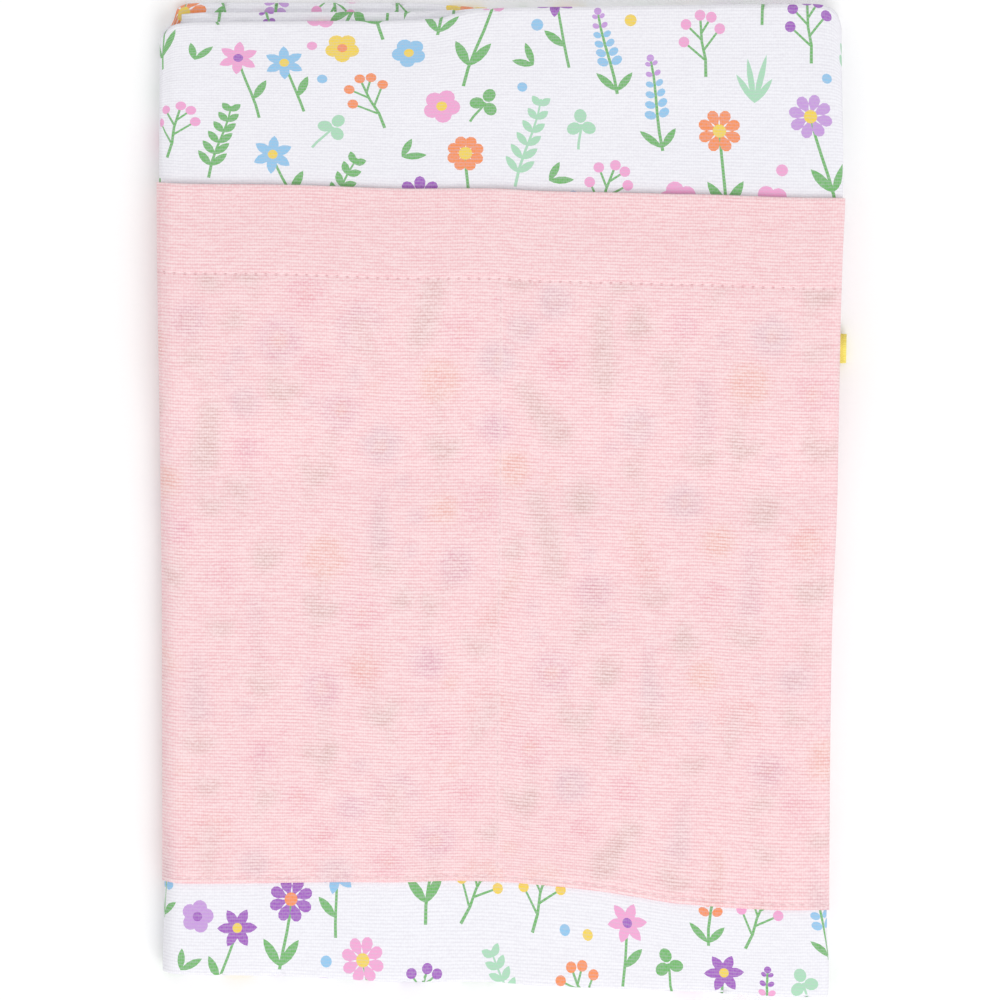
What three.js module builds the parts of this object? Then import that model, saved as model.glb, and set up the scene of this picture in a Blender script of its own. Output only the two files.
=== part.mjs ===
// A cotton kitchen apron, folded for the shelf and lying face up.
// The bib is turned down behind the front and the skirt's tail is turned up behind it,
// then the right third and the left third are folded under the middle one.
// A plain pocket goes round both side folds. The neck strap and waist ties lie between the layers.
// Millimetres. X runs across the apron, Y up it and Z up from the table.
import * as THREE from 'three';

// Cloth
const clothWall = 1;
const layerGap = 0.3;
const layerPitch = clothWall + layerGap;
const emptyShare = 0.25; // height that an empty layer keeps, as a share of a full one
const pressedShare = 0.1; // the same for a layer that is pressed flat

// The apron before it is folded
const apronWidth = 700;
const apronLength = 800;
const bibTopWidth = 270;
const bibLength = 212;
const armholeHeight = 150;
const armholeBend = 1.8; // 1 is a straight slope, more is a deeper curve
const pocketWidth = 400;
const pocketHeight = 241;

// The folded packet
const foldedWidth = apronWidth / 3;
const foldedLength = 337;
const pocketRise = 31; // from the bottom fold to the pocket's lower edge
const bibInset = 9; // the bib's top edge stops this far short of the bottom fold
const freeEdgeInset = 2; // the left third's free edge stops this far short of the right fold
const rollClearance = 1.2; // between the right third's free edge and the left fold
const foldFlatness = 0.65; // width of a fold's round against its height
const foldCorner = 2.6; // 2 is an ellipse, more is a squarer round

// Tapes
const tapeWidth = 10;
const tapeWall = 1;
const tieLength = 700;
const tieTabReach = 2; // the left tie's turn shows this far past the right fold
const tieSeam = 16;
const tieEndInset = 14;
const strapInset = 17; // from the side fold to the strap's centre line
const strapSeam = 15;
const strapLeg = 228;
const strapEndInset = 1; // the strap's ends stop this far short of the bib's top edge

// Cloth that lies over another layer's edge comes down over these widths
const edgeFade = 56;
const armholeLap = 44; // the armhole's curve runs between grid lines, so its fade starts further out
const tapeFade = 50;
const tieClear = 32; // between a turned tie's field and the tail's edge or the top fold
const tieRoom = 2.2; // a turned tie lies two tapes deep, with some slack, in layers
const strapRoom = 1.25; // the layer round the strap, in layers

// Facets
const sideFoldSteps = 6;
const topFoldSteps = 6;
const bottomFoldSteps = 4;
const tapeTurnSteps = 4;
const tapeStep = 24;
const leastStep = 4; // a grid line nearer than this to a cloth's edge is left out

// Colours
const printedCotton = 0xf6f4fb;
const pinkCotton = 0xfad4d7;
const yellowTape = 0xf3dc5c;

// How the fold lines leave a true rectangle, as shares of the folded length (drop, lift)
// and of the folded width (left, right). across runs from the left fold to the right one.
const topFoldTable = [
  { across: 0, top: -0.038, lowest: -0.03 },
  { across: 0.012, top: -0.024, lowest: -0.02 },
  { across: 0.022, top: -0.0185, lowest: -0.0145 },
  { across: 0.028, top: -0.0165, lowest: -0.0005 },
  { across: 0.037, top: -0.0155, lowest: 0.0042 },
  { across: 0.055, top: -0.0145, lowest: 0.0058 },
  { across: 0.21, top: -0.0135, lowest: 0.0062 },
  { across: 0.39, top: -0.0115, lowest: 0.0055 },
  { across: 0.47, top: -0.0015, lowest: 0.0015 },
  { across: 0.65, top: 0.0015, lowest: -0.001 },
  { across: 0.8, top: 0.003, lowest: -0.002 },
  { across: 0.95, top: 0.004, lowest: -0.003 },
  { across: 0.972, top: 0.0025, lowest: -0.004 },
  { across: 0.984, top: -0.0015, lowest: -0.006 },
  { across: 0.992, top: -0.01, lowest: -0.009 },
  { across: 1, top: -0.032, lowest: -0.012 },
];
const bottomFoldTable = [
  { across: 0, lift: 0.0265 },
  { across: 0.03, lift: 0.0235 },
  { across: 0.2, lift: 0.0212 },
  { across: 0.35, lift: 0.0152 },
  { across: 0.45, lift: 0.0156 },
  { across: 0.5, lift: 0.015 },
  { across: 0.55, lift: 0.0118 },
  { across: 0.64, lift: 0.0093 },
  { across: 0.7, lift: 0.008 },
  { across: 0.76, lift: 0.006 },
  { across: 0.8, lift: 0.0055 },
  { across: 0.86, lift: 0.003 },
  { across: 0.92, lift: 0.0007 },
  { across: 1, lift: 0 },
];
const sideFoldTable = [
  { up: 0, left: 0.005, right: -0.0155 },
  { up: 0.03, left: 0.006, right: -0.0145 },
  { up: 0.065, left: 0.0075, right: -0.017 },
  { up: 0.11, left: 0.0083, right: -0.0178 },
  { up: 0.3, left: 0.0078, right: -0.0155 },
  { up: 0.39, left: 0.0073, right: -0.0127 },
  { up: 0.5, left: 0.0056, right: -0.0062 },
  { up: 0.6, left: 0.0038, right: -0.004 },
  { up: 0.7, left: 0.0015, right: -0.001 },
  { up: 0.76, left: 0.0003, right: 0.0022 },
  { up: 0.8, left: 0, right: 0.0052 },
  { up: 0.85, left: 0, right: 0.0062 },
  { up: 0.9, left: 0.0002, right: 0.005 },
  { up: 0.95, left: 0.0004, right: 0.0042 },
  { up: 1, left: 0.0005, right: 0.004 },
];
// The pocket's lower edge against its own straight line, as shares of the pocket's height
const pocketEdgeTable = [
  { across: 0, lift: 0.001 },
  { across: 0.12, lift: 0.003 },
  { across: 0.2, lift: 0.0055 },
  { across: 0.3, lift: 0.0115 },
  { across: 0.42, lift: 0.0153 },
  { across: 0.5, lift: 0.0145 },
  { across: 0.54, lift: 0.0158 },
  { across: 0.6, lift: 0.0136 },
  { across: 0.66, lift: 0.009 },
  { across: 0.72, lift: 0.0022 },
  { across: 0.78, lift: -0.0042 },
  { across: 0.85, lift: -0.0062 },
  { across: 0.9, lift: -0.0058 },
  { across: 1, lift: -0.005 },
];
const liftFade = 0.38; // share of the bottom fold's lift that is gone at the pocket's top edge
const cornerFade = 2.4; // how fast the top fold's drop dies out below the fold

// Soft rise and fall of the packet's top, as a share of its height. It is a sine times a cosine,
// whose angles grow by these radians over the folded length and over half of the folded width.
const looseness = 0.035;
const looseSine = { up: 7.1, across: 2.2 };
const looseCosine = { up: -2.4, across: 3.7 };

// Layers of the packet. The strip is the apron once the bib and the tail are turned in.
// Its depth is counted in layers from the pocket's outer face.
const strip = { pocket: 0, front: 1, tail: 2, strap: 3, bib: 4, clear: 5 };
const stripLayers = 6;
const leftBase = 0; // the left third is folded last, so it lies lowest
const rightBase = stripLayers;
const layers = 3 * stripLayers - 1; // the middle third lies the other way up, with its pocket on top
const wallShare = clothWall / layerPitch;
const topLevel = layers - 1 + wallShare;

// Sizes worked out from the ones above
const halfWidth = foldedWidth / 2;
const bibHang = foldedLength - bibInset; // length of the layer turned down behind the front
const waistUp = foldedLength - (bibHang - bibLength);
const tailLength = apronLength - bibHang - foldedLength;
const pocketTop = pocketRise + pocketHeight;
const pocketWrap = (pocketWidth - foldedWidth) / 2;
const leftRoll = (topLevel - leftBase) / 2; // radii of the side folds, in layers
const rightRoll = (topLevel - rightBase) / 2;
const leftCentre = -halfWidth + foldFlatness * layerPitch * leftRoll;
const rightCentre = halfWidth - foldFlatness * layerPitch * rightRoll;
const topTurn = (strip.bib - strip.front + wallShare) / 2;
const bottomTurn = (strip.tail - strip.front + wallShare) / 2;
const topCentre = foldedLength - foldFlatness * layerPitch * topTurn;
const bottomCentre = foldFlatness * layerPitch * bottomTurn;
const leftEnd = halfWidth - freeEdgeInset;
const rightEnd = leftCentre + rollClearance;

const clamp = (value, low, high) => Math.min(high, Math.max(low, value));
const smooth = (t) => clamp(t, 0, 1) ** 2 * (3 - 2 * clamp(t, 0, 1));
const mix = (a, b, t) => a + (b - a) * t;

// 1 from low to high, falling to 0 over the fade on either side
function band(value, low, high, fade) {
  return smooth((value - low) / fade + 1) * smooth((high - value) / fade + 1);
}

// A table's column at a place between its rows, along a smooth curve
function readTable(table, key, column, at) {
  const last = table.length - 1;
  const place = clamp(at, table[0][key], table[last][key]);
  const found = table.findIndex((row) => place <= row[key]);
  const i = clamp(found - 1, 0, last - 1);
  const [a, b] = [table[i], table[i + 1]];
  const span = b[key] - a[key];
  const slopeAt = (n) => {
    const [before, after] = [table[clamp(n - 1, 0, last)], table[clamp(n + 1, 0, last)]];
    return (after[column] - before[column]) / (after[key] - before[key]);
  };
  const t = (place - a[key]) / span;
  const [t2, t3] = [t * t, t * t * t];
  return (2 * t3 - 3 * t2 + 1) * a[column] + (t3 - 2 * t2 + t) * span * slopeAt(i)
    + (3 * t2 - 2 * t3) * b[column] + (t3 - t2) * span * slopeAt(i + 1);
}

// Half of the apron's width, this far above the waist
function apronHalfWidth(aboveWaist) {
  const left = clamp(1 - aboveWaist / armholeHeight, 0, 1);
  return mix(bibTopWidth, apronWidth, left ** armholeBend) / 2;
}

// How much of a side third there is at a height on the bib's layer: 1 below the waist
function thirdShare(up) {
  return (apronHalfWidth(waistUp - up) - halfWidth) / (apronWidth / 2 - halfWidth);
}
const leftReachAt = (up) => -halfWidth + (leftEnd + halfWidth) * thirdShare(up);
const rightReachAt = (up) => halfWidth - (halfWidth - rightEnd) * thirdShare(up);

// Where the strap runs
const strapOuter = halfWidth - strapInset + tapeWidth / 2;
const strapInner = strapOuter - tapeWidth;
const strapTop = bibInset + strapSeam + strapLeg;

// How full each layer is at a place, from almost nothing to 1, one cloth, or more
const atTail = (up) => Math.max(emptyShare, band(up, -foldedLength, tailLength, edgeFade));
const atPocket = (up) => band(up, pocketRise, pocketTop, edgeFade);
const onLeft = (across, end) => band(across, -foldedWidth, end, edgeFade);
const onRight = (across, end) => band(across, end, foldedWidth, edgeFade);
const atTie = (up, low, high) => tieRoom * band(up, low, high, tapeFade);

const leftThird = {
  pocket: (across, up) => atPocket(up) * onLeft(across, pocketWrap - halfWidth),
  front: () => 1,
  tail: (across, up) => Math.max(atTail(up), atTie(up, waistUp - tapeWidth, foldedLength - tieClear)),
  strap: () => pressedShare,
  bib: (across, up) => Math.max(pressedShare, onLeft(across, leftReachAt(up) + armholeLap)),
  clear: () => emptyShare,
};
const rightThird = {
  pocket: (across, up) => Math.max(
    pressedShare,
    atPocket(up) * onRight(across, halfWidth - pocketWrap),
  ),
  front: () => 1,
  tail: (across, up) => Math.max(atTail(up), atTie(up, tailLength + tieClear, waistUp + tapeWidth)),
  strap: () => pressedShare,
  bib: (across, up) => Math.max(pressedShare, onRight(across, rightReachAt(up) - armholeLap)),
  clear: () => emptyShare,
};
const middleThird = {
  pocket: (across, up) => atPocket(up),
  front: () => 1,
  tail: (across, up) => atTail(up),
  strap: (across, up) => strapRoom * Math.max(
    band(Math.abs(across), strapInner, foldedWidth, tapeFade) * band(up, 0, strapTop, tapeFade),
    band(up, strapTop - tapeWidth, strapTop, tapeFade),
  ),
  bib: () => 1,
};
const upwards = ['pocket', 'front', 'tail', 'strap', 'bib', 'clear'];
const downwards = ['bib', 'strap', 'tail', 'front', 'pocket'];
const fullness = [
  ...upwards.map((cloth) => leftThird[cloth]),
  ...upwards.map((cloth) => rightThird[cloth]),
  ...downwards.map((cloth) => middleThird[cloth]),
];

// Grid that every layer shares, so that their facets lie one on another.
// It has a line at each piece's edges, and steps of a given number between them.
function gridOf(stops) {
  const lines = [];
  stops.forEach(({ at, steps }, n) => {
    const before = n === 0 ? at : stops[n - 1].at;
    for (let k = 1; k <= steps; k += 1) lines.push(mix(before, at, k / steps));
  });
  return lines;
}
const acrossGrid = gridOf([
  { at: leftCentre, steps: 1 },
  { at: -strapInner, steps: 2 },
  { at: pocketWrap - halfWidth, steps: 2 },
  { at: halfWidth - pocketWrap, steps: 2 },
  { at: strapInner, steps: 2 },
  { at: rightCentre, steps: 2 },
]);
const upGrid = gridOf([
  { at: bottomCentre, steps: 1 },
  { at: pocketRise, steps: 1 },
  { at: tailLength, steps: 3 },
  { at: waistUp, steps: 4 },
  { at: strapTop - tapeWidth, steps: 1 },
  { at: strapTop, steps: 1 },
  { at: pocketTop, steps: 1 },
  { at: topCentre, steps: 3 },
]);

// Height of the underside of each layer at every grid point
const heights = acrossGrid.map((across) => upGrid.map((up) => {
  const angle = (turns) => turns.up * (up / foldedLength) + turns.across * (across / halfWidth);
  const wave = Math.sin(angle(looseSine)) * Math.cos(angle(looseCosine));
  const stack = [0];
  fullness.forEach((share, layer) => {
    stack.push(stack[layer] + share(across, up) * layerPitch * (1 + looseness * wave));
  });
  return stack;
}));

// Height of a layer's underside anywhere, along the facets of the grid
function layerHeight(layer, across, up) {
  const x = clamp(across, leftCentre, rightCentre);
  const y = clamp(up, bottomCentre, topCentre);
  const i = clamp(acrossGrid.findIndex((value) => x <= value) - 1, 0, acrossGrid.length - 2);
  const j = clamp(upGrid.findIndex((value) => y <= value) - 1, 0, upGrid.length - 2);
  const a = clamp((x - acrossGrid[i]) / (acrossGrid[i + 1] - acrossGrid[i]), 0, 1);
  const b = clamp((y - upGrid[j]) / (upGrid[j + 1] - upGrid[j]), 0, 1);
  const h = (di, dj) => heights[i + di][j + dj][layer];
  return a >= b
    ? h(0, 0) + a * (h(1, 0) - h(0, 0)) + b * (h(1, 1) - h(1, 0))
    : h(0, 0) + b * (h(0, 1) - h(0, 0)) + a * (h(1, 1) - h(0, 1));
}

// Height of a level, counted in layers from the table
function levelHeight(level, across, up) {
  const layer = clamp(Math.floor(level), 0, layers - 1);
  const low = layerHeight(layer, across, up);
  return mix(low, layerHeight(layer + 1, across, up), level - layer);
}

// How far the top fold lies from its straight line. Each third has its own, and the right third's,
// in the middle of the packet, is halfway between the other two.
function topDrop(level, share) {
  const lowest = readTable(topFoldTable, 'across', 'lowest', share);
  const top = readTable(topFoldTable, 'across', 'top', share);
  const third = smooth(level - strip.clear) + smooth(level - rightBase - strip.clear);
  return mix(lowest, top, third / 2);
}

// From the true rectangle of the packet to its real outline
function outline(across, up, level) {
  const share = (across + halfWidth) / foldedWidth;
  const rise = up / foldedLength;
  const side = (column) => readTable(sideFoldTable, 'up', column, rise) * foldedWidth;
  const lift = readTable(bottomFoldTable, 'across', 'lift', share) * foldedLength;
  const drop = topDrop(level, share) * foldedLength;
  const lifted = mix(1, 1 - liftFade, clamp(up / pocketTop, 0, 1))
    * (1 - smooth((up - pocketTop) / (foldedLength - pocketTop)));
  const dropped = clamp((up - pocketTop) / (foldedLength - pocketTop), 0, 1) ** cornerFade;
  const edge = readTable(pocketEdgeTable, 'across', 'lift', share) * pocketHeight;
  const waved = band(up, pocketRise, pocketRise, pocketRise) * edge;
  return {
    x: across + mix(side('left'), side('right'), clamp(share, 0, 1)),
    y: up - foldedLength / 2 + lift * lifted + drop * dropped + waved,
  };
}

function place(across, up, level) {
  const { x, y } = outline(across, up, level);
  return [x, y, levelHeight(level, across, up)];
}

// A place in the packet by the layer it lies in and its height above that layer's underside
function placeInLayer(across, up, layer, above) {
  const { x, y } = outline(across, up, layer);
  return [x, y, layerHeight(layer, across, up) + above];
}

// Round of a fold: how far out and how far round a point lies, from 0 at one layer to 1 at the other
function foldRound(turn) {
  const angle = turn * Math.PI;
  const power = 2 / foldCorner;
  return {
    out: Math.sin(angle) < 1e-9 ? 0 : Math.sin(angle) ** power,
    over: Math.sign(Math.cos(angle)) * Math.abs(Math.cos(angle)) ** power,
  };
}

// Columns of a cloth: how a depth in the strip becomes a place across and a level
function columnsFor(leftStop, rightStop, foldSteps) {
  const columns = [];
  const leftGrid = acrossGrid.filter((x) => x > leftCentre);
  const rightGrid = acrossGrid.filter((x) => x < rightCentre);
  const between = (list, low, high) => list.filter((x) => x > low + leastStep && x < high - leastStep);
  const toShares = (list, from, to) => list.map((x) => (x - from) / (to - from));
  const leftShares = [0, ...toShares(between(leftGrid, leftCentre, leftStop), leftCentre, leftStop), 1];
  const rightShares = [0, ...toShares(between(rightGrid, rightStop, rightCentre).reverse(),
    rightCentre, rightStop), 1];
  for (const share of [...leftShares].reverse()) columns.push({ third: 'left', share });
  for (let n = foldSteps - 1; n > 0; n -= 1) columns.push({ fold: 'left', turn: n / foldSteps });
  for (const across of acrossGrid) columns.push({ third: 'middle', across });
  for (let n = 1; n < foldSteps; n += 1) columns.push({ fold: 'right', turn: n / foldSteps });
  for (const share of rightShares) columns.push({ third: 'right', share });
  return columns;
}

function throughColumn(column, depth, stops) {
  if (column.fold === 'left') {
    const { out, over } = foldRound(column.turn);
    const radius = leftRoll - depth;
    return [leftCentre - foldFlatness * layerPitch * radius * out, leftBase + leftRoll + radius * over];
  }
  if (column.fold === 'right') {
    const { out, over } = foldRound(column.turn);
    const radius = rightRoll - depth;
    return [rightCentre + foldFlatness * layerPitch * radius * out, rightBase + rightRoll + radius * over];
  }
  if (column.third === 'left') return [mix(leftCentre, stops.left, column.share), leftBase + depth];
  if (column.third === 'right') return [mix(rightCentre, stops.right, column.share), rightBase + depth];
  return [column.across, topLevel - depth];
}

// One closed body from rows and columns of points on its two faces.
// cut says which way a facet's square is split.
function closedSheet(rows, columns, point, cut) {
  const positions = [];
  const index = (face, r, c) => (face * rows + r) * columns + c;
  for (let face = 0; face < 2; face += 1) {
    for (let r = 0; r < rows; r += 1) {
      for (let c = 0; c < columns; c += 1) positions.push(...point(r, c, face));
    }
  }
  const faces = [];
  const square = (a, b, c, d, split) => {
    if (split) faces.push([a, b, d], [b, c, d]);
    else faces.push([a, b, c], [a, c, d]);
  };
  for (let r = 0; r < rows - 1; r += 1) {
    for (let c = 0; c < columns - 1; c += 1) {
      const corners = (face) => [
        index(face, r, c), index(face, r, c + 1), index(face, r + 1, c + 1), index(face, r + 1, c),
      ];
      const [a, b, d, e] = corners(0);
      square(a, b, d, e, cut(r, c));
      const [f, g, h, i] = corners(1);
      square(g, f, i, h, !cut(r, c));
    }
  }
  const rim = (a0, a1, b0, b1) => square(a0, b0, b1, a1, false);
  for (let c = 0; c < columns - 1; c += 1) {
    rim(index(0, 0, c + 1), index(1, 0, c + 1), index(0, 0, c), index(1, 0, c));
    rim(index(0, rows - 1, c), index(1, rows - 1, c), index(0, rows - 1, c + 1), index(1, rows - 1, c + 1));
  }
  for (let r = 0; r < rows - 1; r += 1) {
    rim(index(0, r, 0), index(1, r, 0), index(0, r + 1, 0), index(1, r + 1, 0));
    rim(index(0, r + 1, columns - 1), index(1, r + 1, columns - 1), index(0, r, columns - 1),
      index(1, r, columns - 1));
  }
  let volume = 0;
  const at = (n) => new THREE.Vector3().fromArray(positions, 3 * n);
  for (const [a, b, c] of faces) volume += at(a).dot(at(b).cross(at(c)));
  const turned = volume < 0 ? faces.map(([a, b, c]) => [a, c, b]) : faces;
  const geometry = new THREE.BufferGeometry();
  geometry.setAttribute('position', new THREE.Float32BufferAttribute(positions, 3));
  geometry.setIndex(turned.flat());
  geometry.computeVertexNormals();
  return geometry;
}

// Facets split the same way in every layer, seen from above
const splitFor = (acrossBack, upBack) => acrossBack !== upBack;
const runsBack = (column) => column.third === 'left' || column.third === 'right';

function panelGeometry() {
  const rows = [];
  for (const up of [tailLength, ...upGrid.filter((y) => y < tailLength - leastStep).reverse()]) {
    rows.push({ part: 'tail', up });
  }
  for (let n = bottomFoldSteps - 1; n > 0; n -= 1) rows.push({ turn: n / bottomFoldSteps, end: 'bottom' });
  for (const up of upGrid) rows.push({ part: 'front', up });
  for (let n = 1; n < topFoldSteps; n += 1) rows.push({ turn: n / topFoldSteps, end: 'top' });
  for (const up of [...upGrid].reverse().filter((y) => y > bibInset + leastStep)) {
    rows.push({ part: 'bib', up });
  }
  rows.push({ part: 'bib', up: bibInset });

  // face 0 is the printed face, face 1 the back
  const stripPoint = (row, face) => {
    const inward = face * wallShare;
    if (row.part === 'front') return [row.up, strip.front + inward];
    if (row.part === 'tail') return [row.up, strip.tail + wallShare - inward];
    if (row.part === 'bib') return [row.up, strip.bib + wallShare - inward];
    const { out, over } = foldRound(row.turn);
    const radius = (row.end === 'top' ? topTurn : bottomTurn) - inward;
    const depth = strip.front + (row.end === 'top' ? topTurn : bottomTurn) - radius * over;
    const reach = foldFlatness * layerPitch * radius * out;
    return [row.end === 'top' ? topCentre + reach : bottomCentre - reach, depth];
  };
  const columns = columnsFor(leftEnd, rightEnd, sideFoldSteps);
  const point = (r, c, face) => {
    const [up, depth] = stripPoint(rows[r], face);
    const onBib = rows[r].part === 'bib';
    const stops = {
      left: onBib ? leftReachAt(up) : leftEnd,
      right: onBib ? rightReachAt(up) : rightEnd,
    };
    const [across, level] = throughColumn(columns[c], depth, stops);
    return place(across, up, level);
  };
  const cut = (r, c) => splitFor(
    runsBack(columns[c]) && runsBack(columns[c + 1]),
    rows[r + 1].part === 'tail' || rows[r].part === 'bib',
  );
  return closedSheet(rows.length, columns.length, point, cut);
}

function pocketGeometry() {
  const leftStop = -halfWidth + pocketWrap;
  const rightStop = halfWidth - pocketWrap;
  const columns = columnsFor(leftStop, rightStop, sideFoldSteps);
  const rows = upGrid.filter((up) => up >= pocketRise && up <= pocketTop);
  const point = (r, c, face) => {
    const depth = strip.pocket + face * wallShare;
    const [across, level] = throughColumn(columns[c], depth, { left: leftStop, right: rightStop });
    return place(across, rows[r], level);
  };
  const cut = (r, c) => splitFor(runsBack(columns[c]) && runsBack(columns[c + 1]), false);
  return closedSheet(rows.length, columns.length, point, cut);
}

// A tape that lies in one layer and turns back over itself at each point of its route.
// It turns about upright lines, so each of its sections is upright too.
function turnedTape(route, layer) {
  const middle = (tieRoom * layerPitch - layerGap) / 2; // height of the turns' centre lines
  const inner = layerGap / 2;
  const outer = inner + tapeWall;
  const sections = [];
  route.slice(1).forEach((end, n) => {
    const start = route[n];
    const steps = Math.max(1, Math.round(Math.abs(end.across - start.across) / tapeStep));
    const over = n % 2 === 0 ? -1 : 1; // every second leg is the upper one
    for (let k = n === 0 ? 0 : 1; k <= steps; k += 1) {
      sections.push({
        across: mix(start.across, end.across, k / steps),
        up: mix(start.up, end.up, k / steps),
        over,
        out: 0,
      });
    }
    if (n === route.length - 2) return;
    for (let k = 1; k <= tapeTurnSteps; k += 1) {
      const angle = (k / tapeTurnSteps) * Math.PI;
      sections.push({
        across: end.across,
        up: end.up,
        over: over * Math.cos(angle),
        out: Math.sign(end.across - start.across) * Math.sin(angle),
      });
    }
  });
  const point = (r, c, face) => {
    const { across, up, over, out } = sections[r];
    const radius = face === 0 ? outer : inner;
    return placeInLayer(across + out * radius, up + (c - 0.5) * tapeWidth, layer, middle + radius * over);
  };
  return closedSheet(sections.length, 2, point, () => false);
}

// A waist tie runs to and fro between two stops, a little further up or down at each turn
function tieRoute(start, firstTurn, nearStop, farStop, room) {
  const run = Math.abs(nearStop - farStop);
  const firstRun = Math.abs(firstTurn - start);
  const turns = Math.ceil((tieLength - firstRun) / run);
  const climb = room / turns;
  const route = [{ across: start, up: waistUp }, { across: firstTurn, up: waistUp }];
  let left = tieLength - firstRun;
  for (let n = 0; n < turns; n += 1) {
    const from = route[route.length - 1];
    const to = { across: n % 2 === 0 ? farStop : nearStop, up: from.up + climb };
    const leg = Math.hypot(to.across - from.across, to.up - from.up);
    const share = Math.min(1, left / leg);
    route.push({
      across: mix(from.across, to.across, share),
      up: mix(from.up, to.up, share),
    });
    left -= leg;
  }
  return route;
}

function leftTieGeometry() {
  const stop = halfWidth - tieEndInset;
  const room = foldedLength - tieClear - waistUp - tapeWidth / 2;
  const route = tieRoute(leftEnd - tieSeam, halfWidth + tieTabReach - tapeWall, stop, -stop, room);
  return turnedTape(route, leftBase + strip.tail);
}

function rightTieGeometry() {
  const near = rightEnd + tapeWall + layerPitch;
  const room = waistUp - tailLength - tieClear - tapeWidth / 2;
  const route = tieRoute(rightEnd + tieSeam, near, near, halfWidth - tieEndInset, -room);
  return turnedTape(route, rightBase + strip.tail);
}

// The neck strap: up one side of the bib's back, across, and down the other, mitred flat at its corners
function strapGeometry() {
  const strapLevel = layers - 1 - strip.strap;
  const slack = (strapRoom - 1) * layerPitch / 2;
  const low = bibInset + strapEndInset;
  const legUps = [low, ...upGrid.filter((up) => up > low && up < strapTop - tapeWidth)];
  const barAcross = acrossGrid.filter((across) => Math.abs(across) < strapInner);
  const sections = [
    ...legUps.map((up) => [[-strapOuter, up], [-strapInner, up]]),
    [[-strapOuter, strapTop], [-strapInner, strapTop - tapeWidth]],
    ...barAcross.map((across) => [[across, strapTop], [across, strapTop - tapeWidth]]),
    [[strapOuter, strapTop], [strapInner, strapTop - tapeWidth]],
    ...[...legUps].reverse().map((up) => [[strapOuter, up], [strapInner, up]]),
  ];
  const point = (r, c, face) => {
    const [across, up] = sections[r][c];
    return placeInLayer(across, up, strapLevel, slack + face * tapeWall);
  };
  return closedSheet(sections.length, 2, point, () => false);
}

const cloth = (color, roughness) => new THREE.MeshStandardMaterial({ color, roughness, metalness: 0 });

const pieces = [
  { name: 'apron_panel', geometry: panelGeometry(), material: cloth(printedCotton, 0.92) },
  { name: 'pocket', geometry: pocketGeometry(), material: cloth(pinkCotton, 0.9) },
  { name: 'neck_strap', geometry: strapGeometry(), material: cloth(yellowTape, 0.85) },
  { name: 'waist_tie_left', geometry: leftTieGeometry(), material: cloth(yellowTape, 0.85) },
  { name: 'waist_tie_right', geometry: rightTieGeometry(), material: cloth(yellowTape, 0.85) },
];

const apron = new THREE.Group();
for (const { name, geometry, material } of pieces) {
  const mesh = new THREE.Mesh(geometry, material);
  mesh.name = name;
  apron.add(mesh);
}

// The origin is the middle of the packet's footprint, on the table
const footprint = new THREE.Box3().setFromObject(apron);
const middle = footprint.getCenter(new THREE.Vector3());
apron.position.set(-middle.x, -middle.y, -footprint.min.z);

export default apron;
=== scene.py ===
"""A cotton kitchen apron, folded flat and lying face up on a pale floor.

The cloth, the pocket and the tapes follow the same folds as the solids, at a finer step.
Sizes are in millimetres until a mesh is made, and metres after that.
"""
import math
import random

import bpy
import numpy as np
from mathutils.geometry import delaunay_2d_cdt
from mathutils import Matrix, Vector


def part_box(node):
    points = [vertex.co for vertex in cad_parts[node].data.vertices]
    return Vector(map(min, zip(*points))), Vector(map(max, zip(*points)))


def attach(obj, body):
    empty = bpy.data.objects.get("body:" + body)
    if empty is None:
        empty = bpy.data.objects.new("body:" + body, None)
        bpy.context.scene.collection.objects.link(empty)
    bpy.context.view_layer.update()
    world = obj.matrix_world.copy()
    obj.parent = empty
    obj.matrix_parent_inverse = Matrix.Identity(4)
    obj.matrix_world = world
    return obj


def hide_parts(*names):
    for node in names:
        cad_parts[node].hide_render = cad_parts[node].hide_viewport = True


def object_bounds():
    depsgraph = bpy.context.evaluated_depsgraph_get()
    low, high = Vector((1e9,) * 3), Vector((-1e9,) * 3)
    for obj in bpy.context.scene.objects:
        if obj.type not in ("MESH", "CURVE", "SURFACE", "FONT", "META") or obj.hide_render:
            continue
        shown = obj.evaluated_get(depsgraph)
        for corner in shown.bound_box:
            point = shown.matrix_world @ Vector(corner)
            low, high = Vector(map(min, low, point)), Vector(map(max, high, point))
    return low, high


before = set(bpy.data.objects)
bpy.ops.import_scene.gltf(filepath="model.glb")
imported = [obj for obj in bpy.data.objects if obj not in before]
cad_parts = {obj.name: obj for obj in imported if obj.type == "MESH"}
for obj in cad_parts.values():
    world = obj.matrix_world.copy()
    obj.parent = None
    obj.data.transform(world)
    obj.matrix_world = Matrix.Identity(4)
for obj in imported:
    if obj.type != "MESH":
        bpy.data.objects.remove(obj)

cad_low, cad_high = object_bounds()

MM = 0.001

# The apron and its folds, as the solids have them
PITCH = 1.3
SOLID_WALL = 1.0
EMPTY = 0.25
PRESSED = 0.1
APRON_WIDTH = 700
APRON_LENGTH = 800
BIB_TOP_WIDTH = 270
BIB_LENGTH = 212
ARMHOLE_HEIGHT = 150
ARMHOLE_BEND = 1.8
POCKET_WIDTH = 400
POCKET_HEIGHT = 241
FOLDED_WIDTH = APRON_WIDTH / 3
FOLDED_LENGTH = 337
POCKET_RISE = 31
BIB_INSET = 9
FREE_EDGE_INSET = 2
ROLL_CLEARANCE = 1.2
FOLD_FLATNESS = 0.65
FOLD_CORNER = 2.6
TAPE_WIDTH = 10
TAPE_WALL = 1
TIE_LENGTH = 700
TIE_TAB_REACH = 2
TIE_SEAM = 16
TIE_END_INSET = 14
STRAP_INSET = 17
STRAP_SEAM = 15
STRAP_LEG = 228

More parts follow.
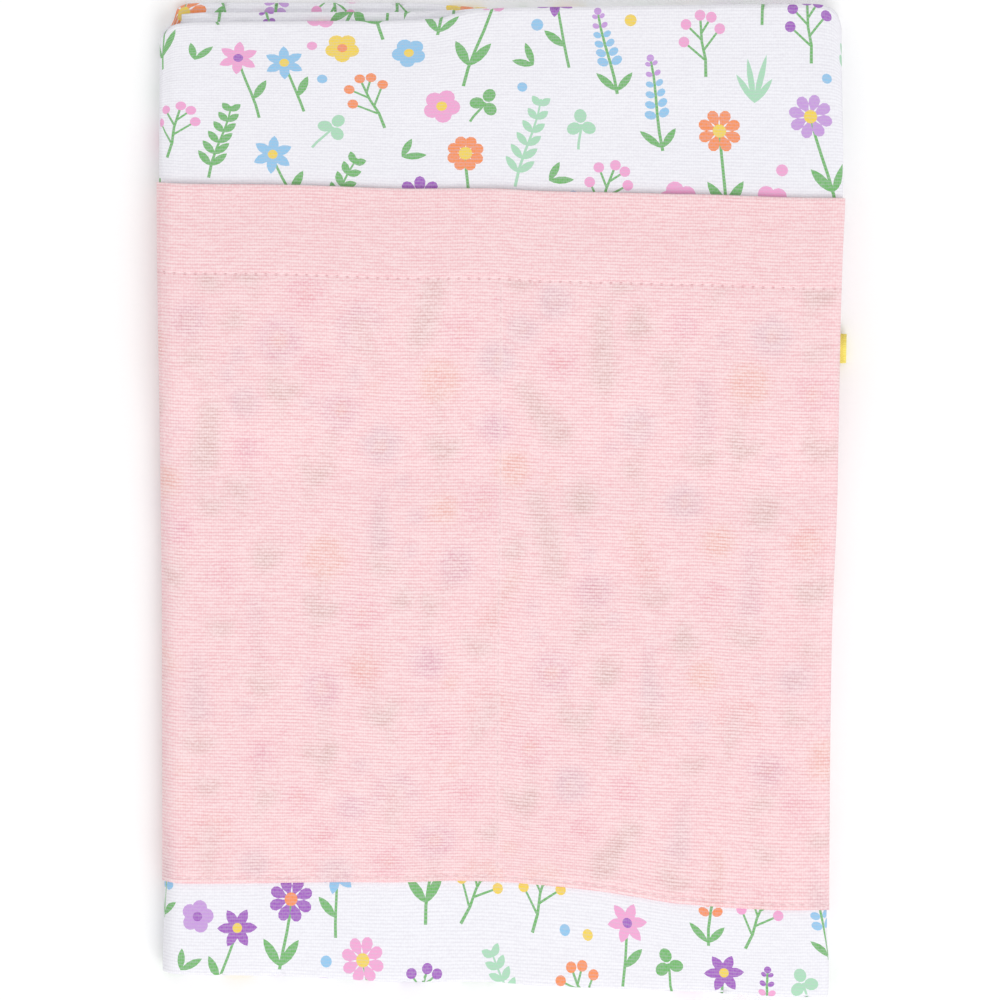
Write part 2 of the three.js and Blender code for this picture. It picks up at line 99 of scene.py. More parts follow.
# How the fold lines leave a true rectangle, as shares of the folded length and width
TOP_FOLD = {
    "across": (0, 0.012, 0.022, 0.028, 0.037, 0.055, 0.21, 0.39, 0.47, 0.65, 0.8, 0.95, 0.972,
               0.984, 0.992, 1),
    "top": (-0.038, -0.024, -0.0185, -0.0165, -0.0155, -0.0145, -0.0135, -0.0115, -0.0015, 0.0015,
            0.003, 0.004, 0.0025, -0.0015, -0.01, -0.032),
    "lowest": (-0.03, -0.02, -0.0145, -0.0005, 0.0042, 0.0058, 0.0062, 0.0055, 0.0015, -0.001,
               -0.002, -0.003, -0.004, -0.006, -0.009, -0.012),
}
BOTTOM_FOLD = {
    "across": (0, 0.03, 0.2, 0.35, 0.45, 0.5, 0.55, 0.64, 0.7, 0.76, 0.8, 0.86, 0.92, 1),
    "lift": (0.0265, 0.0235, 0.0212, 0.0152, 0.0156, 0.015, 0.0118, 0.0093, 0.008, 0.006, 0.0055,
             0.003, 0.0007, 0),
}
SIDE_FOLD = {
    "up": (0, 0.03, 0.065, 0.11, 0.3, 0.39, 0.5, 0.6, 0.7, 0.76, 0.8, 0.85, 0.9, 0.95, 1),
    "left": (0.005, 0.006, 0.0075, 0.0083, 0.0078, 0.0073, 0.0056, 0.0038, 0.0015, 0.0003, 0, 0,
             0.0002, 0.0004, 0.0005),
    "right": (-0.0155, -0.0145, -0.017, -0.0178, -0.0155, -0.0127, -0.0062, -0.004, -0.001, 0.0022,
              0.0052, 0.0062, 0.005, 0.0042, 0.004),
}
POCKET_EDGE = {
    "across": (0, 0.12, 0.2, 0.3, 0.42, 0.5, 0.54, 0.6, 0.66, 0.72, 0.78, 0.85, 0.9, 1),
    "lift": (0.001, 0.003, 0.0055, 0.0115, 0.0153, 0.0145, 0.0158, 0.0136, 0.009, 0.0022, -0.0042,
             -0.0062, -0.0058, -0.005),
}
LIFT_FADE = 0.38
CORNER_FADE = 2.4
LOOSENESS = 0.035

# Layers, counted from the pocket's outer face
DEPTH = {"pocket": 0, "front": 1, "tail": 2, "strap": 3, "bib": 4, "clear": 5}
STRIP_LAYERS = 6
RIGHT_BASE = STRIP_LAYERS
LAYERS = 3 * STRIP_LAYERS - 1
SOLID_SHARE = SOLID_WALL / PITCH
TOP_LEVEL = LAYERS - 1 + SOLID_SHARE

HALF_WIDTH = FOLDED_WIDTH / 2
BIB_HANG = FOLDED_LENGTH - BIB_INSET
WAIST_UP = FOLDED_LENGTH - (BIB_HANG - BIB_LENGTH)
TAIL_LENGTH = APRON_LENGTH - BIB_HANG - FOLDED_LENGTH
POCKET_TOP = POCKET_RISE + POCKET_HEIGHT
POCKET_WRAP = (POCKET_WIDTH - FOLDED_WIDTH) / 2
LEFT_ROLL = TOP_LEVEL / 2
RIGHT_ROLL = (TOP_LEVEL - RIGHT_BASE) / 2
LEFT_CENTRE = -HALF_WIDTH + FOLD_FLATNESS * PITCH * LEFT_ROLL
RIGHT_CENTRE = HALF_WIDTH - FOLD_FLATNESS * PITCH * RIGHT_ROLL
TOP_TURN = (DEPTH["bib"] - DEPTH["front"] + SOLID_SHARE) / 2
BOTTOM_TURN = (DEPTH["tail"] - DEPTH["front"] + SOLID_SHARE) / 2
TOP_CENTRE = FOLDED_LENGTH - FOLD_FLATNESS * PITCH * TOP_TURN
BOTTOM_CENTRE = FOLD_FLATNESS * PITCH * BOTTOM_TURN
LEFT_END = HALF_WIDTH - FREE_EDGE_INSET
RIGHT_END = LEFT_CENTRE + ROLL_CLEARANCE

EDGE_FADE = 56
ARMHOLE_LAP = 44
TAPE_FADE = 50
TIE_ROOM = 2.2
STRAP_ROOM = 1.25
TIE_CLEAR = 32
STRAP_OUTER = HALF_WIDTH - STRAP_INSET + TAPE_WIDTH / 2
STRAP_INNER = STRAP_OUTER - TAPE_WIDTH
STRAP_TOP = BIB_INSET + STRAP_SEAM + STRAP_LEG

# Fine cloth
CLOTH_WALL = 0.72
HEM_WALL = 1.05
HEM_WIDTH = 9
POCKET_HEM = 31
HEM_STEP = 0.3  # how far the pocket's turned hem stands above its single cloth
MOUTH_RISE = 0.5  # how far the pocket's mouth stands off the front
EDGE_ROUND = 0.9
SEAM_SINK = 0.16
RIDGE_RISE = 0.12  # the divider's seam allowance under the pocket's cloth
SEAM_HALF = 1.4
STITCH_PITCH = 3.45
STITCH_LENGTH = 2.85
STITCH_RADIUS = 0.15
STITCH_FLATNESS = 0.6
TAB_LOOSENESS = 0.35  # the left tie's turn stands this much further out than its solid


# Folding

def smooth(t):
    t = np.clip(t, 0, 1)
    return t * t * (3 - 2 * t)


def mix(a, b, t):
    return a + (b - a) * t


def between(a, b, share):
    return tuple(mix(m, n, share) for m, n in zip(a, b))


def way_along(points):
    """How far along a line of points each of them lies."""
    steps = np.linalg.norm(np.diff(points, axis=0), axis=1)
    return np.concatenate([[0], np.cumsum(steps)])


def band(value, low, high, fade):
    """1 from low to high, falling to 0 over the fade on either side."""
    return smooth((value - low) / fade + 1) * smooth((high - value) / fade + 1)


def read_table(table, key, column, at):
    """The column's value at places between the table's rows, along a smooth curve."""
    keys = np.array(table[key], float)
    values = np.array(table[column], float)
    last = len(keys) - 1
    at = np.clip(at, keys[0], keys[-1])
    i = np.clip(np.searchsorted(keys, at) - 1, 0, last - 1)
    after = np.minimum(np.arange(last + 1) + 1, last)
    before = np.maximum(np.arange(last + 1) - 1, 0)
    slopes = (values[after] - values[before]) / (keys[after] - keys[before])
    span = keys[i + 1] - keys[i]
    t = (at - keys[i]) / span
    t2, t3 = t * t, t * t * t
    return ((2 * t3 - 3 * t2 + 1) * values[i] + (t3 - 2 * t2 + t) * span * slopes[i]
            + (3 * t2 - 2 * t3) * values[i + 1] + (t3 - t2) * span * slopes[i + 1])


def third_share(up):
    """How much of a side third there is at a height on the bib's layer: 1 below the waist."""
    left = np.clip(1 - (WAIST_UP - up) / ARMHOLE_HEIGHT, 0, 1)
    half = mix(BIB_TOP_WIDTH, APRON_WIDTH, left ** ARMHOLE_BEND) / 2
    return (half - HALF_WIDTH) / (APRON_WIDTH / 2 - HALF_WIDTH)


def left_reach(up):
    return -HALF_WIDTH + (LEFT_END + HALF_WIDTH) * third_share(up)


def right_reach(up):
    return HALF_WIDTH - (HALF_WIDTH - RIGHT_END) * third_share(up)


def level_heights(across, up):
    """Height of every level at each point, from the floor to the top of the packet."""
    at_tail = np.maximum(EMPTY, band(up, -FOLDED_LENGTH, TAIL_LENGTH, EDGE_FADE))
    at_pocket = band(up, POCKET_RISE, POCKET_TOP, EDGE_FADE)
    left_tie = TIE_ROOM * band(up, WAIST_UP - TAPE_WIDTH, FOLDED_LENGTH - TIE_CLEAR, TAPE_FADE)
    right_tie = TIE_ROOM * band(up, TAIL_LENGTH + TIE_CLEAR, WAIST_UP + TAPE_WIDTH, TAPE_FADE)
    legs = band(abs(across), STRAP_INNER, FOLDED_WIDTH, TAPE_FADE) * band(up, 0, STRAP_TOP, TAPE_FADE)
    crossing = band(up, STRAP_TOP - TAPE_WIDTH, STRAP_TOP, TAPE_FADE)
    pocket_left = band(across, -FOLDED_WIDTH, POCKET_WRAP - HALF_WIDTH, EDGE_FADE)
    pocket_right = band(across, HALF_WIDTH - POCKET_WRAP, FOLDED_WIDTH, EDGE_FADE)
    bib_left = band(across, -FOLDED_WIDTH, left_reach(up) + ARMHOLE_LAP, EDGE_FADE)
    bib_right = band(across, right_reach(up) - ARMHOLE_LAP, FOLDED_WIDTH, EDGE_FADE)
    one = np.ones_like(up)
    fulls = [
        at_pocket * pocket_left, one, np.maximum(at_tail, left_tie), PRESSED * one,
        np.maximum(PRESSED, bib_left), EMPTY * one,
        np.maximum(PRESSED, at_pocket * pocket_right), one, np.maximum(at_tail, right_tie),
        PRESSED * one, np.maximum(PRESSED, bib_right), EMPTY * one,
        one, STRAP_ROOM * np.maximum(legs, crossing), at_tail, one, at_pocket,
    ]
    wave = (np.sin(7.1 * up / FOLDED_LENGTH + 2.2 * across / HALF_WIDTH)
            * np.cos(3.7 * across / HALF_WIDTH - 2.4 * up / FOLDED_LENGTH))
    steps = np.array(fulls) * PITCH * (1 + LOOSENESS * wave)
    return np.vstack([np.zeros_like(up)[None], np.cumsum(steps, axis=0)])


# Small waves that the cloth has all over: their length and direction, and their height
RIPPLES = (
    {"length": 64, "turn": 12, "height": 0.10, "phase": 0.3},
    {"length": 41, "turn": 71, "height": 0.08, "phase": 1.9},
    {"length": 29, "turn": -38, "height": 0.06, "phase": 4.4},
    {"length": 19, "turn": 96, "height": 0.035, "phase": 2.6},
    {"length": 13, "turn": 24, "height": 0.02, "phase": 5.2},
)


def ripple(across, up):
    total = np.zeros_like(up)
    for wave in RIPPLES:
        turn = math.radians(wave["turn"])
        along = across * math.cos(turn) + up * math.sin(turn)
        sway = 0.6 * np.sin(along / wave["length"] * 1.7 + wave["phase"])
        total += wave["height"] * np.sin(2 * math.pi * along / wave["length"] + wave["phase"] + sway)
    return total


def place(across, up, level):
    """From the true packet to its real form: x, y and z of points given by across, up and level."""
    share = (across + HALF_WIDTH) / FOLDED_WIDTH
    rise = up / FOLDED_LENGTH
    left = read_table(SIDE_FOLD, "up", "left", rise) * FOLDED_WIDTH
    right = read_table(SIDE_FOLD, "up", "right", rise) * FOLDED_WIDTH
    lift = read_table(BOTTOM_FOLD, "across", "lift", share) * FOLDED_LENGTH
    third = smooth(level - DEPTH["clear"]) + smooth(level - RIGHT_BASE - DEPTH["clear"])
    drop = FOLDED_LENGTH * mix(read_table(TOP_FOLD, "across", "lowest", share),
                               read_table(TOP_FOLD, "across", "top", share), third / 2)
    over_pocket = (up - POCKET_TOP) / (FOLDED_LENGTH - POCKET_TOP)
    lifted = mix(1, 1 - LIFT_FADE, np.clip(up / POCKET_TOP, 0, 1)) * (1 - smooth(over_pocket))
    dropped = np.clip(over_pocket, 0, 1) ** CORNER_FADE
    edge = read_table(POCKET_EDGE, "across", "lift", share) * POCKET_HEIGHT
    x = across + mix(left, right, np.clip(share, 0, 1))
    y = (up - FOLDED_LENGTH / 2 + lift * lifted + drop * dropped
         + band(up, POCKET_RISE, POCKET_RISE, POCKET_RISE) * edge)
    inner_across = np.clip(across, LEFT_CENTRE, RIGHT_CENTRE)
    inner_up = np.clip(up, BOTTOM_CENTRE, TOP_CENTRE)
    heights = level_heights(inner_across, inner_up)
    layer = np.clip(np.floor(level), 0, LAYERS - 1).astype(int)
    points = np.arange(len(layer))
    low = heights[layer, points]
    high = heights[layer + 1, points]
    z = mix(low, high, level - layer)
    z = z + ripple(inner_across, inner_up) * np.clip(z / heights[-1], 0, 1)
    return np.stack([x, y, z], axis=-1)


def fold_round(turn):
    """Round of a fold, from 0 at one layer to 1 at the other: how far out, and how far over."""
    sine = np.sin(turn * math.pi)
    cosine = np.cos(turn * math.pi)
    power = 2 / FOLD_CORNER
    return np.clip(sine, 0, 1) ** power, np.sign(cosine) * abs(cosine) ** power


def arc_of(turn_levels):
    """A fold's length along its outer face, and the turns at equal steps of it."""
    turns = np.linspace(0, 1, 401)
    out, over = fold_round(turns)
    steps = np.hypot(np.diff(out) * FOLD_FLATNESS, np.diff(over)) * PITCH * turn_levels
    gone = np.concatenate([[0], np.cumsum(steps)])
    return gone[-1], lambda way: np.interp(way, gone, turns)


LEFT_ARC, left_turn = arc_of(LEFT_ROLL - DEPTH["front"])
RIGHT_ARC, right_turn = arc_of(RIGHT_ROLL - DEPTH["front"])
TOP_ARC, top_turn = arc_of(TOP_TURN)
BOTTOM_ARC, bottom_turn = arc_of(BOTTOM_TURN)

# Places along the flat cloth where its folds begin and end: s runs across it and t up it
S_LEFT = LEFT_CENTRE - LEFT_ARC
S_RIGHT = RIGHT_CENTRE + RIGHT_ARC
S_FIRST = S_LEFT - (LEFT_END - LEFT_CENTRE)
S_LAST = S_RIGHT + (RIGHT_CENTRE - RIGHT_END)
T_TAIL = TAIL_LENGTH - BOTTOM_CENTRE
T_FRONT = T_TAIL + BOTTOM_ARC
T_TOP = T_FRONT + TOP_CENTRE - BOTTOM_CENTRE
T_BIB = T_TOP + TOP_ARC
T_LAST = T_BIB + TOP_CENTRE - BIB_INSET


def through_sides(s, depth):
    """Where a place across the flat cloth goes once the sides are folded: across and level."""
    left_out, left_over = fold_round(left_turn(LEFT_CENTRE - s))
    right_out, right_over = fold_round(right_turn(s - RIGHT_CENTRE))
    left_radius = LEFT_ROLL - depth
    right_radius = RIGHT_ROLL - depth
    scale = FOLD_FLATNESS * PITCH
    conditions = [s < S_LEFT, s < LEFT_CENTRE, s <= RIGHT_CENTRE, s <= S_RIGHT]
    across = np.select(conditions, [
        LEFT_CENTRE + (S_LEFT - s), LEFT_CENTRE - scale * left_radius * left_out, s,
        RIGHT_CENTRE + scale * right_radius * right_out], RIGHT_CENTRE - (s - S_RIGHT))
    level = np.select(conditions, [
        depth, LEFT_ROLL + left_radius * left_over, TOP_LEVEL - depth,
        RIGHT_BASE + RIGHT_ROLL + right_radius * right_over], RIGHT_BASE + depth)
    return across, level


def through_ends(t, inward):
    """Where a place up the flat cloth goes once its ends are folded: up and depth."""
    bottom_out, bottom_over = fold_round(1 - bottom_turn(t - T_TAIL))
    top_out, top_over = fold_round(top_turn(t - T_TOP))
    scale = FOLD_FLATNESS * PITCH
    front, tail, bib = DEPTH["front"], DEPTH["tail"], DEPTH["bib"]
    conditions = [t < T_TAIL, t < T_FRONT, t <= T_TOP, t <= T_BIB]
    up = np.select(conditions, [
        TAIL_LENGTH - t, BOTTOM_CENTRE - scale * (BOTTOM_TURN - inward) * bottom_out,
        BOTTOM_CENTRE + t - T_FRONT, TOP_CENTRE + scale * (TOP_TURN - inward) * top_out],
        TOP_CENTRE - (t - T_BIB))
    depth = np.select(conditions, [
        tail + SOLID_SHARE - inward, front + BOTTOM_TURN - (BOTTOM_TURN - inward) * bottom_over,
        front + inward, front + TOP_TURN - (TOP_TURN - inward) * top_over],
        bib + SOLID_SHARE - inward)
    return up, depth


def fold_panel(flat, wall):
    """Folded places of the panel's flat points (s, t), a wall (mm) in from its printed face."""
    up, depth = through_ends(flat[:, 1], wall / PITCH)
    across, level = through_sides(flat[:, 0], depth)
    return place(across, up, level)


# Meshes

def shift_to_solids(points, node):
    """How far the folded points move so that their middle is the middle of the solid."""
    low, high = (np.array(corner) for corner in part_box(node))
    shift = (low + high) / 2 / MM - (points.min(0) + points.max(0)) / 2
    return shift * (1, 1, 0)


def add_object(name, data):
    obj = bpy.data.objects.new(name, data)
    bpy.context.scene.collection.objects.link(obj)
    return obj


def add_mesh(name, points, faces, uv=None, smooth_count=None):
    """A new object from points in mm and faces. uv holds a flat place in mm for each point."""
    mesh = bpy.data.meshes.new(name)
    mesh.from_pydata((points * MM).tolist(), [], faces)
    mesh.update()
    smoothing = np.zeros(len(mesh.polygons), bool)
    smoothing[:len(mesh.polygons) if smooth_count is None else smooth_count] = True
    mesh.polygons.foreach_set("use_smooth", smoothing)
    if uv is not None:
        corners = np.zeros(len(mesh.loops), int)
        mesh.loops.foreach_get("vertex_index", corners)
        layer = mesh.uv_layers.new(name="cloth")
        layer.data.foreach_set("uv", (np.asarray(uv)[corners] * MM).ravel())
    return add_object(name, mesh)


def sheet_faces(rows, columns):
    """Quads of a closed sheet: the outer face, the inner one, then its four edges."""
    index = np.arange(2 * rows * columns).reshape(2, rows, columns)
    outer, inner = index
    quads = [
        np.stack([outer[:-1, :-1], outer[:-1, 1:], outer[1:, 1:], outer[1:, :-1]], -1),
        np.stack([inner[:-1, :-1], inner[1:, :-1], inner[1:, 1:], inner[:-1, 1:]], -1),
    ]
    smooth_count = 2 * (rows - 1) * (columns - 1)
    edges = (
        (outer[0], inner[0], False), (outer[-1], inner[-1], True),
        (outer[:, 0], inner[:, 0], True), (outer[:, -1], inner[:, -1], False),
    )
    for a, b, turned in edges:
        ring = [b[:-1], b[1:], a[1:], a[:-1]]
        quads.append(np.stack(ring[::-1] if turned else ring, -1))
    return np.concatenate([q.reshape(-1, 4) for q in quads]).tolist(), smooth_count


def spread(start, end, spacing):
    """Evenly spaced places from start up to end, end left out."""
    count = max(1, round(abs(end - start) / spacing))
    return [mix(start, end, k / count) for k in range(count)]


def grid(stops, end):
    """Places from stop to stop and up to the end. A stop holds its place and its stretch's spacing."""
    ends = [at for at, _ in stops[1:]] + [end]
    return [place for (at, step), to in zip(stops, ends) for place in spread(at, to, step)] + [end]


def paint(piece, name, domain, colours):
    """A colour attribute of a piece, from a linear colour for each corner or point."""
    layer = piece.data.attributes.new(name, "FLOAT_COLOR", domain)
    opaque = np.ones((len(colours), 1))
    layer.data.foreach_set("color", np.hstack([colours, opaque]).astype(np.float32).ravel())


# Printed pattern: small garden flowers, leaves and dots

PRINT_COLOURS = {
    "white": (251, 251, 254), "green": (118, 190, 108), "mint": (176, 228, 190),
    "pink": (250, 172, 216), "purple": (168, 100, 196), "lilac": (206, 160, 226),
    "orange": (255, 152, 92), "yellow": (252, 220, 82), "blue": (150, 206, 242),
}


def linear(colour):
    parts = [c / 255 for c in colour]
    return tuple(p / 12.92 if p <= 0.04045 else ((p + 0.055) / 1.055) ** 2.4 for p in parts)


def turned(points, angle, at=(0, 0)):
    c, s = math.cos(angle), math.sin(angle)
    return [(at[0] + x * c - y * s, at[1] + x * s + y * c) for x, y in points]


def disc(at, radius, squash=1.0, sides=10, angle=0.0):
    turns = [2 * math.pi * k / sides for k in range(sides)]
    return turned([(radius * math.cos(a), radius * squash * math.sin(a)) for a in turns], angle, at)


PETAL_OPEN = 0.86  # share of a half turn that a petal's edge goes round on each side
PETAL_NECK = 0.55  # how much nearer to its point a petal's edge ends than its widest part


def petal(at, angle, length, width, tip=0.72, sides=9):
    """A drop with its point at a place and its widest part at a share of its length."""
    ring = [(0, 0)]
    for k in range(sides):
        a = math.pi * (PETAL_OPEN - 2 * PETAL_OPEN * k / (sides - 1))
        reach = length * tip + length * (1 - tip) * math.cos(a)
        if abs(a) >= math.pi / 2:
            reach = length * tip * (1 - PETAL_NECK * abs(math.cos(a)))
        ring.append((reach, width / 2 * math.sin(a)))
    return turned(ring[::-1], angle, at)


def leaf(at, angle, length, width):
    """A pointed leaf from its stalk to its tip."""
    shares = (0.18, 0.4, 0.65, 0.86)
    upper = [(length * s, width / 2 * math.sin(math.pi * s) ** 0.8) for s in shares]
    lower = [(x, -y) for x, y in upper]
    return turned([(0, 0)] + lower + [(length, 0)] + upper[::-1], angle, at)


def stroke(points, start, end):
    """A ribbon along points whose width goes from start to end."""
    left, right = [], []
    for n, (x, y) in enumerate(points):
        before = points[max(n - 1, 0)]
        after = points[min(n + 1, len(points) - 1)]
        run = math.hypot(after[0] - before[0], after[1] - before[1])
        nx, ny = -(after[1] - before[1]) / run, (after[0] - before[0]) / run
        half = mix(start, end, n / (len(points) - 1)) / 2
        left.append((x + nx * half, y + ny * half))
        right.append((x - nx * half, y - ny * half))
    return right + left[::-1]


def grown(r, low, high, bend):
    """A plant's own height and bend."""
    return r.uniform(low, high), r.uniform(-bend, bend)


def stem_at(plant, share):
    """The place at a share of the way up a plant's stem."""
    height, bend = plant
    return bend * math.sin(math.pi * 0.5 * share) ** 2, height * share


def stem(plant, foot, tip, colour="green", steps=5):
    """A stem with its width at its foot and at its tip."""
    height, bend = plant
    line = [(bend * math.sin(math.pi * 0.5 * k / steps) ** 2, height * k / steps)
            for k in range(steps + 1)]
    return stroke(line, foot, tip), colour


def leaves(at, spread, width, colour="green"):
    """Leaves from one place. spread holds each one's turn from upright (degrees) and its length."""
    return [(leaf(at, math.radians(90 + turn), length, width), colour) for turn, length in spread]


# Each motif gives its shapes, in drawing order, and circles (x, y, radius) that keep others away

def daisy(r):
    plant = grown(r, 27, 36, bend=6)
    colour, centre = r.choice((("pink", "yellow"), ("yellow", "orange"), ("orange", "yellow"),
                               ("lilac", "yellow"), ("purple", "orange")))
    size = r.uniform(6.4, 8.0)
    top = stem_at(plant, 1)
    shapes = [stem(plant, foot=1.15, tip=0.95)]
    shapes += leaves(stem_at(plant, 0.22), ((-34, 11), (34, 11)), width=3.4)
    shapes += [(petal(top, math.radians(20 + 45 * k), size, width=3.9), colour) for k in range(8)]
    shapes.append((disc(top, 2.3, sides=14), centre))
    return shapes, ((*top, size), (*stem_at(plant, 0.5), 6.2), (0, plant[0] * 0.12, 5.0))


def lupin(r):
    plant = grown(r, 26, 36, bend=5)
    colour, tip = r.choice((("blue", "lilac"), ("lilac", "purple"), ("pink", "purple"),
                            ("orange", "yellow")))
    shapes = [stem(plant, foot=1.1, tip=0.8)]
    shapes += leaves((0, 1), ((-46, 8.5), (40, 9.5)), width=2.6)
    rows = 6
    for k in range(rows):
        x, y = stem_at(plant, mix(0.4, 0.94, k / (rows - 1)))
        reach = mix(3.3, 1.7, k / (rows - 1))
        shapes += [(disc((x + side * reach * 0.72, y), reach * 0.62, squash=0.74, angle=side * 0.55),
                    colour if k < rows - 2 else tip) for side in (-1, 1)]
    shapes.append((disc(stem_at(plant, 1), 1.3), tip))
    return shapes, ((0, plant[0] * 0.16, 6.4), (*stem_at(plant, 0.55), 5.2), (*stem_at(plant, 0.9), 4.4))


def sprig(r):
    plant = grown(r, 25, 36, bend=5)
    colour = r.choice(("green", "mint", "green"))
    shapes = [stem(plant, foot=1.05, tip=0.6, colour=colour)]
    pairs = 6
    for k in range(1, pairs + 1):
        share = k / (pairs + 0.5)
        length = 7.6 - 3.4 * share
        shapes += leaves(stem_at(plant, share), ((-44, length), (44, length)), 2.7, colour)
    return shapes, ((0, plant[0] * 0.2, 5.6), (*stem_at(plant, 0.55), 5.8), (*stem_at(plant, 0.92), 4.2))


def berries(r):
    colour = r.choice(("orange", "pink", "yellow", "purple"))
    shapes = [(stroke([(0, 0), (0.6, 6), (0, 12), (0.4, 20)], 1.1, 0.8), "green")]
    tips = [(0.4, 21)]
    for turn, start, length in ((42, 6, 9), (-44, 9, 9.4), (38, 12.5, 7.6), (-40, 15, 6.4)):
        a = math.radians(90 + turn)
        tip = (length * math.cos(a), start + length * math.sin(a))
        tips.append(tip)
        shapes.append((stroke([(0.2, start), ((0.2 + tip[0]) / 2, (start + tip[1]) / 2), tip], 0.8, 0.7),
                       "green"))
    shapes += [(disc(tip, 1.85, sides=12), colour) for tip in tips]
    return shapes, ((0, 4, 4.5), (0, 16, 9.0))


def star_bloom(r):
    plant = grown(r, 20, 28, bend=5)
    colour, centre = r.choice((("purple", "yellow"), ("pink", "purple"), ("blue", "yellow")))
    top = stem_at(plant, 1)
    shapes = [stem(plant, foot=1.0, tip=0.85)]
    shapes += leaves(stem_at(plant, 0.3), ((math.copysign(38, plant[1]), 9),), width=3)
    shapes += [(leaf(top, math.radians(15 + 60 * k), 7.0, width=3.6), colour) for k in range(6)]
    shapes.append((disc(top, 1.7, sides=12), centre))
    return shapes, ((*top, 7.0), (*stem_at(plant, 0.45), 5.0), (0, plant[0] * 0.1, 3.4))


def round_blossom(r):
    colour, centre = r.choice((("pink", "yellow"), ("yellow", "orange"), ("blue", "yellow"),
                               ("pink", "orange"), ("lilac", "purple")))
    size = r.uniform(4.6, 6.4)
    shapes = [(disc((0.6 * size * math.cos(a), 0.6 * size * math.sin(a)), 0.5 * size, sides=12), colour)
              for a in [2 * math.pi * k / 5 + 0.3 for k in range(5)]]
    shapes.append((disc((0, 0), 0.32 * size, sides=12), centre))
    return shapes, ((0, 0, size * 1.1),)


def clover(r):
    height, lean, apart = r.uniform(8, 13), 1.5, 2.9
    colour = r.choice(("green", "mint"))
    shapes = [stem((height, lean), foot=0.9, tip=0.8, colour=colour, steps=4)]
    shapes += [(disc((lean + apart * math.cos(a), height + apart * math.sin(a)), 2.5, 0.86, 12, a), colour)
               for a in (math.radians(turn) for turn in (90, 210, 330))]
    return shapes, ((lean, height, 5.8), (0.2, height * 0.3, 2.5))


def tuft(r):
    colour = r.choice(("mint", "green"))
    blades = [(turn, length * r.uniform(0.85, 1.15))
              for turn, length in ((-34, 11), (-12, 16), (11, 14), (35, 10))]
    return leaves((0, 0), blades, 2.2, colour), ((0, 6, 7.0), (0, 12, 4.4))


def sprout(r):
    lean = r.uniform(-12, 12)
    shapes = [(leaf((0, 0), math.radians(turn + lean), length, width=2.6), "green")
              for turn, length in ((58, 8.5), (116, 7.5))]
    return shapes, ((0, 4, 5.0),)


def dot(r):
    size = r.uniform(1.7, 2.2)
    return [(disc((0, 0), size, sides=12), r.choice(("blue", "blue", "pink", "yellow")))], ((0, 0, 2.4),)


# How often a motif is tried, how many there are at most, and how far it tilts (degrees)
MOTIFS = (
    {"draw": daisy, "tries": 1400, "most": 74, "tilt": 22},
    {"draw": lupin, "tries": 1400, "most": 50, "tilt": 18},
    {"draw": sprig, "tries": 1400, "most": 38, "tilt": 32},
    {"draw": berries, "tries": 1400, "most": 50, "tilt": 28},
    {"draw": star_bloom, "tries": 1800, "most": 66, "tilt": 26},
    {"draw": round_blossom, "tries": 3400, "most": 150, "tilt": 180},
    {"draw": tuft, "tries": 2600, "most": 50, "tilt": 20},
    {"draw": clover, "tries": 3000, "most": 56, "tilt": 40},
    {"draw": sprout, "tries": 4000, "most": 130, "tilt": 60},
    {"draw": dot, "tries": 6000, "most": 170, "tilt": 0},
)
PRINT_GAP = 1.6
PRINT_MARGIN = 4
PRINT_LOW = T_TAIL - 24
PRINT_HIGH = T_BIB + 40
PRINT_SEED = 41


def lay_out_print():
    """Motifs spread over the front of the flat cloth: a list of (points, colour) in drawing order."""
    r = random.Random(PRINT_SEED)
    lowest = (S_FIRST + PRINT_MARGIN, PRINT_LOW)
    highest = (S_LAST - PRINT_MARGIN, PRINT_HIGH)
    taken = np.zeros((0, 3))
    shapes = []
    for motif in MOTIFS:
        made = 0
        for _ in range(motif["tries"]):
            if made == motif["most"]:
                break
            drawn, guards = motif["draw"](r)
            at = (r.uniform(S_FIRST, S_LAST), r.uniform(PRINT_LOW, PRINT_HIGH))
            angle = math.radians(r.uniform(-motif["tilt"], motif["tilt"]))
            ring = np.array([(*turned([(x, y)], angle, at)[0], size) for x, y, size in guards])
            low, high = ring[:, :2] - ring[:, 2:], ring[:, :2] + ring[:, 2:]
            if not ((low > lowest).all() and (high < highest).all()):
                continue
            apart = np.hypot(ring[:, None, 0] - taken[None, :, 0], ring[:, None, 1] - taken[None, :, 1])
            if (apart < ring[:, None, 2] + taken[None, :, 2] + PRINT_GAP).any():
                continue
            taken = np.vstack([taken, ring])
            shapes += [(turned(points, angle, at), colour) for points, colour in drawn]
            made += 1
    return shapes


HIDDEN_ROLL = 30  # how far past the right fold, and short of the top, the print is hidden
HIDDEN_BIB = 16  # how far over the top fold a motif is still drawn
HIDDEN_TAIL = 12  # how far round the bottom fold


def is_shown(points):
    """Whether a printed shape lies where the folded apron shows it."""
    s, t = np.mean(points, axis=0)
    up = BOTTOM_CENTRE + t - T_FRONT
    under_pocket = (abs(s) < POCKET_WIDTH / 2 - HEM_WIDTH
                    and POCKET_RISE + HEM_WIDTH < up < POCKET_TOP - HEM_WIDTH)
    rolled_in = s > S_RIGHT + HIDDEN_ROLL and up < FOLDED_LENGTH - HIDDEN_ROLL
    turned_in = t > T_BIB + HIDDEN_BIB or t < T_TAIL - HIDDEN_TAIL
    return not (under_pocket or rolled_in or turned_in)


# The panel

def side_limits(t):
    """The flat cloth's two edges at a place up it."""
    up = TOP_CENTRE - (t - T_BIB)
    if t < T_BIB:
        return S_FIRST, S_LAST
    left = S_LEFT - (left_reach(np.array(up)) - LEFT_CENTRE)
    right = S_RIGHT + (RIGHT_CENTRE - right_reach(np.array(up)))
    return float(max(S_FIRST, left)), float(min(S_LAST, right))


